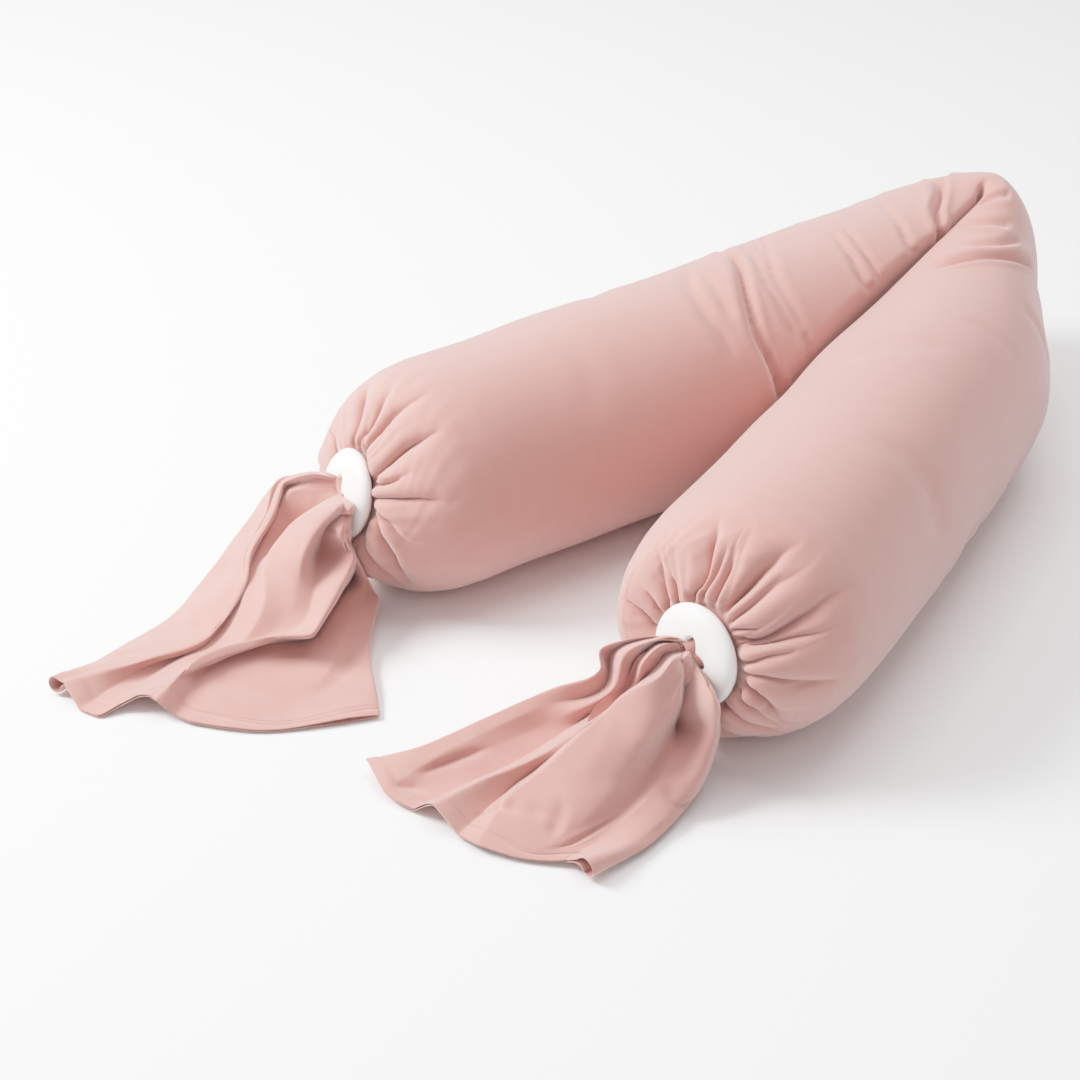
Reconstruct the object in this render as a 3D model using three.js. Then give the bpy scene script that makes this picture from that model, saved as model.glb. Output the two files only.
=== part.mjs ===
import * as THREE from 'three';

// Pregnancy pillow: one long filled tube of jersey, bent in two on the floor. Each end of the cover is
// drawn through the hole of a pebble-shaped ring, and the empty end of the tube falls to the floor.
// Millimetres, +Z up, origin on the floor at the centre of the footprint, legs lying along Y.
// Going along the tube from hem A to hem B, the outer side faces away from the other leg.

// Driving dimensions
const LAYOUT_CENTRE = { x: 125.6, y: 76.5 };   // middle of the footprint, in the tables' coordinates
const CLOTH = 1.6;                         // thickness of the jersey where it is a sheet
const RING_RADIUS = 47.5;                  // outside of the pebble
const RING_EGG = 1.8;                      // how far the pebble is longer than it is wide
const RING_THICK = 25;                     // front to back
const HOLE_MEAN = 14.5;                    // mean radius of the four-lobed hole
const HOLE_LOBE = 5;                       // how far a lobe reaches past that
const HOLE_GAP = 0.6;                      // between the hole's wall and the gathered neck
const HOLE_LOBES = 4;
const NECK_CLEAR = 2;                      // the neck keeps its shape this far past the ring's free face
const WAIST = 0.47;                        // height of the widest point, as a share of the top
const FLOOR_SINK = 9;                      // how far the round section would reach under the floor
const CONTACT_X = 150;                     // the upright plane where the two legs press together
const CONTACT_GAP = 2.4;                   // left open there
const CONTACT_SOFT = 8;                    // rounding where a leg meets that plane
const BEND_ROOM = 20;                      // least reach of a section towards the inside of the bend

// Mesh density
const AROUND = 48;
const HALF = AROUND / 2;
const LEG_STEP = 38;
const FINE_STEP = 15;
const FINE_STRETCHES = [[370, 645], [700, 1010]];   // where the creases and the bend are

// Rings. heading is the way of travel in degrees from +X and tilt its rise. The other columns are the
// filled tube's, at the ring: half widths away from and towards the other leg, and height.
const RINGS = {
  a: { x: -88, y: -191, z: 115, heading: 66, tilt: -17, outer: 119, inner: 118, top: 226 },
  b: { x: 333, y: -159, z: 112, heading: -96, tilt: 14, outer: 120, inner: 124, top: 227 },
};

// Sections of the filled tube between the rings, with the same columns
const SECTIONS = [
  { x: -65, y: -131, heading: 75, outer: 121, inner: 120, top: 228 },
  { x: -24, y: 21, heading: 75, outer: 121, inner: 121, top: 231 },
  { x: 14, y: 161, heading: 75, outer: 123, inner: 121, top: 233 },
  { x: 60, y: 333, heading: 75, outer: 127, inner: 122, top: 238 },
  { x: 98, y: 480, heading: 75, outer: 129, inner: 120, top: 242 },
  { x: 112, y: 545, heading: 68, outer: 118, inner: 104, top: 246 },
  { x: 126, y: 585, heading: 48, outer: 93, inner: 78, top: 254 },
  { x: 143, y: 603, heading: 0, outer: 60, inner: 44, top: 258 },
  { x: 166, y: 588, heading: -48, outer: 54, inner: 66, top: 252 },
  { x: 180, y: 545, heading: -66, outer: 68, inner: 88, top: 240 },
  { x: 194, y: 500, heading: -70, outer: 90, inner: 104, top: 233 },
  { x: 231, y: 396, heading: -73, outer: 115, inner: 114, top: 231 },
  { x: 258, y: 278, heading: -77, outer: 121, inner: 119, top: 231 },
  { x: 285, y: 150, heading: -77, outer: 122, inner: 121, top: 231 },
  { x: 314, y: 10, heading: -79, outer: 123, inner: 122, top: 230 },
  { x: 328, y: -87, heading: -82, outer: 123, inner: 124, top: 229 },
];

// Profile of the filled ends from the ring's back outwards: share of the way from the hole to the full
// section, and how far along the tube. The cloth lies on the ring's back and bulges round its rim.
const DOME = [
  { share: 0, along: 0.3 },
  { share: 0.10, along: 0.5 },
  { share: 0.24, along: 0.6 },
  { share: 0.38, along: 1 },
  { share: 0.46, along: -3 },
  { share: 0.58, along: -4 },
  { share: 0.70, along: 1 },
  { share: 0.82, along: 13 },
  { share: 0.92, along: 32 },
  { share: 0.98, along: 60 },
];
const DOME_LENGTH = 92;                    // where the section is full
const RING_SEAT = { from: 0.35, to: 0.85 };   // shares between which the section turns off the ring's slant
const DOME_LEAN = 24;                      // how far the upper half of an end leans back from its ring

// Pleats drawn in by the rings: angle at the ring and at the far end in degrees (0 on the outer side,
// 90 on top), how far along the tube they reach, and depth. A negative depth is a ridge.
const PLEATS = {
  a: [
    { from: 20, to: 34, reach: 30, deep: 6 },
    { from: 62, to: 64, reach: 60, deep: 8 },
    { from: 78, to: 92, reach: 70, deep: 4 },
    { from: 104, to: 106, reach: 80, deep: 4 },
    { from: 127, to: 126, reach: 75, deep: 8 },
    { from: 156, to: 158, reach: 60, deep: 6 },
    { from: 180, to: 226, reach: 45, deep: 9 },
    { from: 240, to: 250, reach: 40, deep: 6 },
    { from: 275, to: 272, reach: 50, deep: 7 },
    { from: 308, to: 300, reach: 50, deep: 6 },
    { from: 342, to: 340, reach: 45, deep: 7 },
  ],
  b: [
    { from: 2, to: 0, reach: 50, deep: 6 },
    { from: 24, to: 26, reach: 45, deep: -4 },
    { from: 44, to: 38, reach: 95, deep: 9 },
    { from: 76, to: 66, reach: 70, deep: 8 },
    { from: 100, to: 92, reach: 50, deep: 7 },
    { from: 118, to: 108, reach: 70, deep: 5 },
    { from: 140, to: 126, reach: 55, deep: 4 },
    { from: 172, to: 170, reach: 40, deep: 4 },
    { from: 208, to: 214, reach: 45, deep: 7 },
    { from: 240, to: 246, reach: 50, deep: 6 },
    { from: 276, to: 272, reach: 45, deep: 7 },
    { from: 306, to: 300, reach: 50, deep: 6 },
    { from: 340, to: 334, reach: 40, deep: 8 },
  ],
};
const PLEAT_WIDE = 6.5;                    // degrees from the bottom of a pleat to its side
const RIM_SHARE = 0.38;                    // pleats start where the cloth comes out from under the ring

// Creases across the filled tube, between two places along it and angles round it
const CREASES = [
  { at0: 430, angle0: 70, at1: 395, angle1: 132, deep: 5, wide: 13 },
  { at0: 507, angle0: 52, at1: 438, angle1: 155, deep: 8, wide: 12 },
  { at0: 556, angle0: 54, at1: 487, angle1: 145, deep: -4, wide: 13 },
  { at0: 632, angle0: 80, at1: 606, angle1: 140, deep: 4, wide: 12 },
  { at0: 706, angle0: 70, at1: 676, angle1: 120, deep: 4, wide: 12 },
  { at0: 777, angle0: 55, at1: 722, angle1: 132, deep: 9, wide: 14 },
  { at0: 998, angle0: 112, at1: 942, angle1: 52, deep: 6, wide: 14 },
  { at0: 942, angle0: 78, at1: 872, angle1: 18, deep: 4, wide: 12 },
  { at0: 1110, angle0: 84, at1: 1090, angle1: 32, deep: 3, wide: 18 },
];
const CREASE_FADE = 0.25;                  // share of a crease's length over which each end fades

// The empty ends. Rows run from ring to hem; o and i are the tube's outer and inner edges, rise lifts the
// middle of the row, bow carries it away from the ring, plump is the half thickness of the bundle there.
// hem gives the outline of the free end, out from the line between its corners. A fold runs from v0 to v1
// along the tail, at u0 to u1 across it, high0 to high1 above it.
const TAILS = {
  a: {
    hand: -1,
    rows: [
      { at: 0.10, ox: -130, oy: -213, oz: 122, ix: -83, iy: -232, iz: 105, rise: 8, bow: 8, plump: 12 },
      { at: 0.22, ox: -166, oy: -212, oz: 104, ix: -62, iy: -232, iz: 60, rise: 10, bow: 22, plump: 9 },
      { at: 0.38, ox: -194, oy: -238, oz: 58, ix: -36, iy: -194, iz: 22, rise: 16, bow: 30, plump: 7 },
      { at: 0.55, ox: -194, oy: -306, oz: 14, ix: -22, iy: -206, iz: 6, rise: 14, bow: 30, plump: 3 },
      { at: 0.78, ox: -187, oy: -405, oz: 6, ix: 26, iy: -270, iz: 4, rise: 3, bow: 40, plump: 0 },
      { at: 1.00, ox: -179, oy: -511, oz: 8, ix: 87, iy: -320, iz: 4, rise: 0, bow: 46, plump: 0 },
    ],
    hem: [
      { at: 0, out: 0 },
      { at: 0.185, out: 32 },
      { at: 0.30, out: 10 },
      { at: 0.49, out: 42 },
      { at: 0.775, out: 29 },
      { at: 1, out: 0 },
    ],
    mouth: { outer: 8, inner: 3 },
    folds: [
      { v0: 0.06, u0: 0.14, v1: 1.0, u1: 0.08, high0: 14, high1: 5, wide: 0.07 },
      { v0: 0.10, u0: 0.29, v1: 1.0, u1: 0.19, high0: -20, high1: -4, wide: 0.05 },
      { v0: 0.06, u0: 0.42, v1: 0.6, u1: 0.50, high0: 14, high1: 6, wide: 0.08 },
      { v0: 0.45, u0: 0.68, v1: 1.0, u1: 0.30, high0: 20, high1: 28, wide: 0.06 },
      { v0: 0.12, u0: 0.73, v1: 0.6, u1: 0.76, high0: -22, high1: -8, wide: 0.05 },
    ],
  },
  b: {
    hand: 1,
    rows: [
      { at: 0.10, ox: 364, oy: -190, oz: 106, ix: 302, iy: -197, iz: 116, rise: 6, bow: 6, plump: 11 },
      { at: 0.22, ox: 380, oy: -194, oz: 80, ix: 262, iy: -209, iz: 108, rise: 14, bow: 22, plump: 9 },
      { at: 0.38, ox: 376, oy: -188, oz: 38, ix: 216, iy: -200, iz: 48, rise: 20, bow: 30, plump: 7 },
      { at: 0.55, ox: 374, oy: -200, oz: 8, ix: 178, iy: -232, iz: 12, rise: 16, bow: 40, plump: 3 },
      { at: 0.78, ox: 388, oy: -272, oz: 4, ix: 148, iy: -300, iz: 5, rise: 5, bow: 50, plump: 0 },
      { at: 1.00, ox: 380, oy: -352, oz: 6, ix: 118, iy: -378, iz: 5, rise: 0, bow: 36, plump: 0 },
    ],
    hem: [
      { at: 0, out: 0 },
      { at: 0.10, out: 2 },
      { at: 0.24, out: 21 },
      { at: 0.46, out: 34 },
      { at: 0.63, out: 22 },
      { at: 0.73, out: 35 },
      { at: 0.83, out: 26 },
      { at: 1, out: 0 },
    ],
    mouth: { outer: 7, inner: 3 },
    folds: [
      { v0: 0.14, u0: 0.34, v1: 0.55, u1: 0.30, high0: -24, high1: -8, wide: 0.05 },
      { v0: 0.06, u0: 0.50, v1: 0.85, u1: 0.50, high0: 16, high1: 5, wide: 0.07 },
      { v0: 0.28, u0: 0.80, v1: 0.9, u1: 0.76, high0: -16, high1: -5, wide: 0.06 },
      { v0: 0.35, u0: 0.70, v1: 1.0, u1: 0.62, high0: 16, high1: 24, wide: 0.05 },
    ],
  },
};
const TAIL_PLACES = [0.07, 0.12, 0.18, 0.26, 0.34, 0.43, 0.52, 0.62, 0.72, 0.82, 0.92, 1.0];
const CAVITY_FROM = 0.5;                   // the two layers part from here to the hem
const HEM_FROM = 0.6;                      // the hem's outline takes over from a row's bow from here on
const LAYER_HALF = 2.4;                    // half thickness of the flattened tube
const EDGE_INSET = 4;                      // the cavity stops this far from the tube's folded edges

const rad = THREE.MathUtils.degToRad;
const { clamp, lerp, smoothstep } = THREE.MathUtils;
const UP = new THREE.Vector3(0, 0, 1);

// Smooth value of one column of a table at a place along it
function column(rows, name, at) {
  let k = 0;
  while (k < rows.length - 2 && at > rows[k + 1].at) k += 1;
  const slope = (i, j) => (rows[j][name] - rows[i][name]) / (rows[j].at - rows[i].at);
  const here = slope(k, k + 1);
  const span = rows[k + 1].at - rows[k].at;
  const m0 = k > 0 ? slope(k - 1, k + 1) : here;
  const m1 = k < rows.length - 2 ? slope(k, k + 2) : here;
  const t = clamp((at - rows[k].at) / span, 0, 1);
  const [t2, t3] = [t * t, t * t * t];
  return (2 * t3 - 3 * t2 + 1) * rows[k][name] + (t3 - 2 * t2 + t) * span * m0
    + (3 * t2 - 2 * t3) * rows[k + 1][name] + (t3 - t2) * span * m1;
}

// Direction of travel, outer side and upward side at a heading and tilt in degrees
function frameAt(heading, tilt) {
  const [h, t] = [rad(heading), rad(tilt)];
  const axis = new THREE.Vector3(Math.cos(h) * Math.cos(t), Math.sin(h) * Math.cos(t), Math.sin(t));
  const outward = new THREE.Vector3(-Math.sin(h), Math.cos(h), 0);
  return { axis, outward, up: axis.clone().cross(outward) };
}

// A point at an angle round a centre, 0 on the outer side and a quarter turn up
function around(frame, centre, angle, side, rise, along) {
  return centre.clone()
    .addScaledVector(frame.axis, along)
    .addScaledVector(frame.outward, side * Math.cos(angle))
    .addScaledVector(frame.up, rise * Math.sin(angle));
}

// Row of the filled tube at a ring, on the face of the ring that the filling lies against
function ringRow(ring, along, next) {
  const centre = new THREE.Vector3(ring.x, ring.y, ring.z);
  const face = centre.addScaledVector(frameAt(ring.heading, ring.tilt).axis, along);
  return { ...ring, x: face.x, y: face.y, neckZ: face.z, heading: next.heading, seat: ring };
}

function withPlaces(rows) {
  let at = 0;
  return rows.map((row, k) => {
    if (k > 0) at += Math.hypot(row.x - rows[k - 1].x, row.y - rows[k - 1].y);
    return { ...row, at };
  });
}

const BODY = withPlaces([
  ringRow(RINGS.a, RING_THICK / 2, SECTIONS[0]),
  ...SECTIONS,
  ringRow(RINGS.b, -RING_THICK / 2, SECTIONS.at(-1)),
]);
const BODY_LENGTH = BODY.at(-1).at;

function holeRadius(angle) {
  return HOLE_MEAN + HOLE_LOBE * Math.cos(HOLE_LOBES * angle);
}

// Point of the filled tube: along it, how far out of the hole (share), and round it
function bodyPoint(at, share, angle) {
  const row = {};
  for (const name of ['x', 'y', 'heading', 'outer', 'inner', 'top']) {
    row[name] = column(BODY, name, clamp(at, 0, BODY_LENGTH));
  }
  const beyond = at - clamp(at, 0, BODY_LENGTH);
  const end = BODY.at(at < BODY_LENGTH / 2 ? 0 : -1);
  const neck = holeRadius(angle) - HOLE_GAP;
  const middle = lerp(end.neckZ, row.top * WAIST, share);
  const s = Math.sin(angle);
  const c = Math.cos(angle);
  const rise = lerp(neck, s > 0 ? row.top - middle : middle + FLOOR_SINK, share);
  let side = lerp(neck, c > 0 ? row.outer : row.inner, share);
  // the inner half stays on its own side of the contact plane
  const slant = Math.max(Math.abs(Math.sin(rad(row.heading))), 0.2);
  const room = Math.max((Math.abs(CONTACT_X - row.x) - CONTACT_GAP / 2) / slant, BEND_ROOM) - CONTACT_SOFT;
  const over = -side * c - room;
  if (over > 0) side = (room + CONTACT_SOFT * (1 - Math.exp(-over / CONTACT_SOFT))) / -c;
  const off = smoothstep(share, RING_SEAT.from, RING_SEAT.to);
  const frame = frameAt(lerp(end.seat.heading, row.heading, off), lerp(end.seat.tilt, 0, off));
  const fromEnd = Math.min(at, BODY_LENGTH - at);
  const before = at < BODY_LENGTH / 2 ? 1 : -1;
  const lean = DOME_LEAN * off * Math.max(0, 1 - fromEnd / DOME_LENGTH) * Math.max(0, s);
  const centre = new THREE.Vector3(row.x, row.y, middle);
  const point = around(frame, centre, angle, side, rise, beyond + before * lean);
  point.z = Math.max(0, point.z);
  return point;
}

function ringPoint(ring, angle, radius, along) {
  const centre = new THREE.Vector3(ring.x, ring.y, ring.z);
  return around(frameAt(ring.heading, ring.tilt), centre, angle, radius, radius, along);
}

const angles = Array.from({ length: AROUND }, (_, i) => (i / AROUND) * 2 * Math.PI);

function neckLoop(ring, along) {
  return angles.map((angle) => ringPoint(ring, angle, holeRadius(angle) - HOLE_GAP, along));
}

// Height that the folds of a tail add at a place across (u) and along (v) it
function foldHeight(folds, u, v) {
  let sum = 0;
  for (const f of folds) {
    const t = clamp((v - f.v0) / (f.v1 - f.v0), 0, 1);
    const begun = smoothstep(v, f.v0 - 0.06, f.v0 + 0.08);
    const left = f.v1 < 1 ? 1 - smoothstep(v, f.v1 - 0.08, f.v1 + 0.08) : 1;
    const off = (u - lerp(f.u0, f.u1, t)) / f.wide;
    sum += lerp(f.high0, f.high1, t) * begun * left * Math.exp(-off * off);
  }
  return sum;
}

// Rows of a tail, led by the one at its ring's free face
function tailRows(ring, side, rows) {
  const edge = (sign) => ringPoint(ring, 0, sign * HOLE_MEAN, side * (RING_THICK / 2 + NECK_CLEAR));
  const [o, i] = [edge(1), edge(-1)];
  const first = { at: 0, ox: o.x, oy: o.y, oz: o.z, ix: i.x, iy: i.y, iz: i.z };
  return [{ ...first, rise: 0, bow: 0, plump: rows[0].plump }, ...rows];
}

TAILS.a.rows = tailRows(RINGS.a, -1, TAILS.a.rows);
TAILS.b.rows = tailRows(RINGS.b, 1, TAILS.b.rows);

// Unfolded middle of the flattened tube at a place across and along a tail
function tailBase(tail, u, v) {
  const at = (name) => column(tail.rows, name, v);
  const outer = new THREE.Vector3(at('ox'), at('oy'), at('oz'));
  const inner = new THREE.Vector3(at('ix'), at('iy'), at('iz'));
  const chord = inner.clone().sub(outer);
  const away = new THREE.Vector3(chord.y, -chord.x, 0).normalize();
  if (away.y > 0) away.negate();
  const arch = 4 * u * (1 - u);
  const out = lerp(at('bow') * arch, column(tail.hem, 'out', clamp(u, 0, 1)), smoothstep(v, HEM_FROM, 1));
  return outer.addScaledVector(chord, u)
    .addScaledVector(away, out)
    .addScaledVector(UP, at('rise') * arch);
}

// Upper side of a tail, square to its unfolded middle
function tailNormal(tail, u, v) {
  const step = 0.02;
  const across = tailBase(tail, u + step, v).sub(tailBase(tail, u - step, v));
  const [near, far] = [Math.max(v - step, 0), Math.min(v + step, 1)];
  const along = tailBase(tail, u, far).sub(tailBase(tail, u, near));
  return across.cross(along).multiplyScalar(tail.hand).normalize();
}

// Half the distance between the two layers' outsides
function layerHalf(tail, u, v, cut) {
  const round = Math.sqrt(Math.max(0, 1 - (2 * u - 1) ** 2));
  const open = smoothstep(v, 0.8, 1);
  const mouth = tail.mouth.outer * Math.exp(-(((u - 0.06) / 0.05) ** 2))
    + tail.mouth.inner * Math.exp(-(((u - 0.94) / 0.05) ** 2));
  const edge = clamp(Math.min(u, 1 - u) / 0.03, 0, 1);
  return (LAYER_HALF - cut + open * mouth) * edge + Math.max(0, column(tail.rows, 'plump', v)) * round;
}

// One loop round a tail: over the top from the outer edge to the inner one, and back underneath
function tailLoop(tail, v, cut) {
  const inset = cut > 0 ? EDGE_INSET / tailBase(tail, 0, v).distanceTo(tailBase(tail, 1, v)) : 0;
  const draw = (near) => inset * (1 - smoothstep(near, 0, 3 / HALF));
  return angles.map((_, i) => {
    const across = i <= HALF ? i / HALF : 2 - i / HALF;
    const u = across + draw(across) - draw(1 - across);
    const normal = tailNormal(tail, u, v);
    const half = layerHalf(tail, across, v, cut);
    const middle = tailBase(tail, u, v).addScaledVector(normal, foldHeight(tail.folds, u, v));
    const lift = Math.max(0, LAYER_HALF * normal.z - middle.z);
    const point = middle.addScaledVector(normal, i <= HALF ? half : -half).addScaledVector(UP, lift);
    point.z = Math.max(point.z, cut);
    return point;
  });
}

// Joins loops of equal count into one closed surface; the first and last loops are zipped flat. Each quad
// is split along its shorter diagonal, so the inner and outer faces of a thin wall are split alike.
function closedSurface(rings) {
  const index = [];
  const points = rings.flat();
  for (let j = 0; j < rings.length - 1; j += 1) {
    for (let i = 0; i < AROUND; i += 1) {
      const k = (i + 1) % AROUND;
      const [a, b, c, d] = [j * AROUND + i, j * AROUND + k, (j + 1) * AROUND + k, (j + 1) * AROUND + i];
      const split = points[a].distanceTo(points[c]) < points[b].distanceTo(points[d]);
      index.push(...(split ? [a, b, c, a, c, d] : [a, b, d, b, c, d]));
    }
  }
  const zip = (start, turned) => {
    for (let i = 0; i < HALF; i += 1) {
      const quad = [i, i + 1, (AROUND - i - 1) % AROUND, (AROUND - i) % AROUND].map((k) => start + k);
      const [a, b, c, d] = turned ? quad : quad.toReversed();
      if (i < HALF - 1) index.push(a, b, c);
      if (i < HALF - 1 && i > 0) index.push(a, c, d);
      if (i === HALF - 1) index.push(...(turned ? [quad[0], quad[1], quad[3]] : [quad[3], quad[1], quad[0]]));
    }
  };
  zip(0, false);
  zip((rings.length - 1) * AROUND, true);
  const geometry = new THREE.BufferGeometry();
  const flat = points.flatMap((p) => [p.x - LAYOUT_CENTRE.x, p.y - LAYOUT_CENTRE.y, p.z]);
  geometry.setAttribute('position', new THREE.Float32BufferAttribute(flat, 3));
  geometry.setIndex(index);
  geometry.computeVertexNormals();
  return geometry;
}

// Depth of the pleats and creases at a place on the filled tube
function pressDepth(at, share, angle) {
  const turn = THREE.MathUtils.radToDeg(angle);
  const away = (a, b) => Math.abs(((a - b + 540) % 360) - 180);
  const along = Math.min(at, BODY_LENGTH - at);
  const start = smoothstep(share, RIM_SHARE, RIM_SHARE + 0.15);
  let depth = 0;
  for (const p of PLEATS[at < BODY_LENGTH / 2 ? 'a' : 'b']) {
    const centre = lerp(p.from, p.to, clamp(along / p.reach, 0, 1));
    const fade = 1 - smoothstep(along, 0.2 * p.reach, p.reach);
    depth += p.deep * start * fade * Math.exp(-((away(turn, centre) / PLEAT_WIDE) ** 2));
  }
  for (const c of CREASES) {
    const t = (turn - c.angle0) / (c.angle1 - c.angle0);
    const fade = smoothstep(t, 0, CREASE_FADE) * (1 - smoothstep(t, 1 - CREASE_FADE, 1));
    depth += c.deep * fade * Math.exp(-(((at - lerp(c.at0, c.at1, t)) / c.wide) ** 2));
  }
  return depth;
}

// Presses the pleats and creases into a surface of loops, square to it
function pressed(loops, places) {
  return loops.map((loop, j) => loop.map((point, i) => {
    const depth = pressDepth(places[j].at, places[j].share, angles[i]);
    const round = loop[(i + 1) % AROUND].clone().sub(loop[(i + AROUND - 1) % AROUND]);
    const along = loops[Math.min(j + 1, loops.length - 1)][i].clone().sub(loops[Math.max(j - 1, 0)][i]);
    const moved = point.clone().addScaledVector(along.cross(round).normalize(), depth);
    moved.z = Math.max(moved.z, 0);
    return moved;
  }));
}

// Loops of the filled tube: the dome at each end, close sections where it creases and bends
function bodyLoops() {
  const legs = [];
  let at = DOME_LENGTH;
  while (at < BODY_LENGTH - DOME_LENGTH) {
    legs.push({ at, share: 1 });
    const fine = FINE_STRETCHES.some(([from, to]) => at > from && at < to);
    at += fine ? FINE_STEP : LEG_STEP;
  }
  const start = DOME.map(({ share, along }) => ({ at: along, share }));
  const end = start.toReversed().map((p) => ({ at: BODY_LENGTH - p.at, share: p.share }));
  const places = [...start, ...legs, ...end];
  return pressed(places.map((p) => angles.map((angle) => bodyPoint(p.at, p.share, angle))), places);
}

function coverLoops() {
  const cavity = TAIL_PLACES.filter((v) => v >= CAVITY_FROM);
  const half = RING_THICK / 2;
  return [
    ...cavity.map((v) => tailLoop(TAILS.a, v, CLOTH)),
    ...TAIL_PLACES.toReversed().map((v) => tailLoop(TAILS.a, v, 0)),
    neckLoop(RINGS.a, -half - NECK_CLEAR),
    neckLoop(RINGS.a, half - NECK_CLEAR),
    ...bodyLoops(),
    neckLoop(RINGS.b, NECK_CLEAR - half),
    neckLoop(RINGS.b, half + NECK_CLEAR),
    ...TAIL_PLACES.map((v) => tailLoop(TAILS.b, v, 0)),
    ...cavity.toReversed().map((v) => tailLoop(TAILS.b, v, CLOTH)),
  ];
}

// Section of the pebble from its rim round to the hole: share of the way out from the hole, share of
// the half thickness
const PEBBLE = [
  [1, 0], [0.95, 0.45], [0.82, 0.75], [0.5, 0.96], [0.12, 1], [0, 0.8],
  [0, -0.8], [0.12, -1], [0.5, -0.96], [0.82, -0.75], [0.95, -0.45],
];

function pebbleRing(ring) {
  const points = [];
  for (const angle of angles) {
    const hole = holeRadius(angle);
    const rim = RING_RADIUS + RING_EGG * Math.cos(2 * angle + Math.PI / 3);
    for (const [out, thick] of PEBBLE) {
      points.push(ringPoint(ring, angle, lerp(hole, rim, out), thick * RING_THICK / 2));
    }
  }
  const n = PEBBLE.length;
  const index = [];
  for (let i = 0; i < AROUND; i += 1) {
    for (let j = 0; j < n; j += 1) {
      const [p, q] = [i * n, ((i + 1) % AROUND) * n];
      const k = (j + 1) % n;
      index.push(p + j, q + j, q + k, p + j, q + k, p + k);
    }
  }
  const geometry = new THREE.BufferGeometry();
  const flat = points.flatMap((p) => [p.x - LAYOUT_CENTRE.x, p.y - LAYOUT_CENTRE.y, p.z]);
  geometry.setAttribute('position', new THREE.Float32BufferAttribute(flat, 3));
  geometry.setIndex(index);
  geometry.computeVertexNormals();
  return geometry;
}

const jersey = new THREE.MeshStandardMaterial({ color: 0xdcb0a8, roughness: 0.85, metalness: 0 });
const silicone = new THREE.MeshStandardMaterial({ color: 0xf4f2f0, roughness: 0.5, metalness: 0 });

function named(name, geometry, material) {
  const mesh = new THREE.Mesh(geometry, material);
  mesh.name = name;
  return mesh;
}

const pillow = new THREE.Group();
pillow.add(named('cover', closedSurface(coverLoops()), jersey));
pillow.add(named('ring_a', pebbleRing(RINGS.a), silicone));
pillow.add(named('ring_b', pebbleRing(RINGS.b), silicone));

export default pillow;
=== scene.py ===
import bmesh
import bpy
import numpy as np
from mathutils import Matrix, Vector
from mathutils.bvhtree import BVHTree


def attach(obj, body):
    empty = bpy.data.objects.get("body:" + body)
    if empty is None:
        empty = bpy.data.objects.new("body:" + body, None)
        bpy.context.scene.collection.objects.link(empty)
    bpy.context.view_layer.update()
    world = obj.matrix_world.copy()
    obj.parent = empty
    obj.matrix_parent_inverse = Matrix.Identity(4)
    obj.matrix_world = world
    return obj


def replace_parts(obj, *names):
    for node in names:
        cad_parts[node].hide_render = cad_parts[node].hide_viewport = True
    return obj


# Pregnancy pillow: one long filled tube of jersey bent in two, drawn at each end through a pebble-shaped
# ring, with the empty end of the tube falling to the floor. Lengths in the tables are millimetres, places are
# in the layout's own coordinates and angles are degrees, unless a comment says otherwise.

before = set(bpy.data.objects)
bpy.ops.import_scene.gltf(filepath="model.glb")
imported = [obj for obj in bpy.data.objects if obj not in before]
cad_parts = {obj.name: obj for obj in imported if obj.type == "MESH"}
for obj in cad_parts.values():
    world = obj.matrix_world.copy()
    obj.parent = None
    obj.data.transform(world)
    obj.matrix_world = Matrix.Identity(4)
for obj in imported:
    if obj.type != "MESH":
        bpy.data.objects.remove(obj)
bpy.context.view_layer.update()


def table(names, *rows):
    """Rows of values as dicts."""
    return [dict(zip(names.split(), row)) for row in rows]


LAYOUT_CENTRE = (125.6, 76.5)       # the layout's point that lies at the origin
# The photograph's view of the layout's origin
AZIMUTH = 42.0
ELEVATION = 35.0
DISTANCE = 2300.0
LENS = 72.0
SENSOR = 36.0
PHOTO_SIZE = 1080.0                 # pixels on a side
CLOTH = 0.9                         # thickness of the jersey
GIRTH = 754.0                       # round the tube where the filling stretches it
SLACK_GIRTH = 680.0                 # round its empty ends
FLOOR_GAP = 0.4                     # least height of the cloth of an empty end

RING_RADIUS = 47.5
RING_EGG = 1.8
RING_THICK = 25.0
HOLE_MEAN = 14.5
HOLE_LOBE = 5.0
HOLE_LOBES = 4
NECK_GAP = 1.2                      # between the hole's wall and the gathered neck
# The way out of the tube along each ring's axis, and where on that axis the rows of the neck lie
OUT = {"a": -1, "b": 1}
NECK_ALONG = {"a": (-4.5, -2.5, 0, 6.5, 11.5), "b": (-11.5, -6.5, 0, 2.5, 4.5)}

WAIST = 0.47                        # height of the widest level, as a share of the full height
FLOOR_SINK = 9.0                    # how far the round section would reach below the floor
# The legs meet at CONTACT_X, CONTACT_GAP apart, and flatten over the last CONTACT_SOFT
CONTACT_X = 150.0
CONTACT_GAP = 2.4
CONTACT_SOFT = 8.0
BEND_ROOM = 20.0                    # least half width on the inner side of the bend

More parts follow.
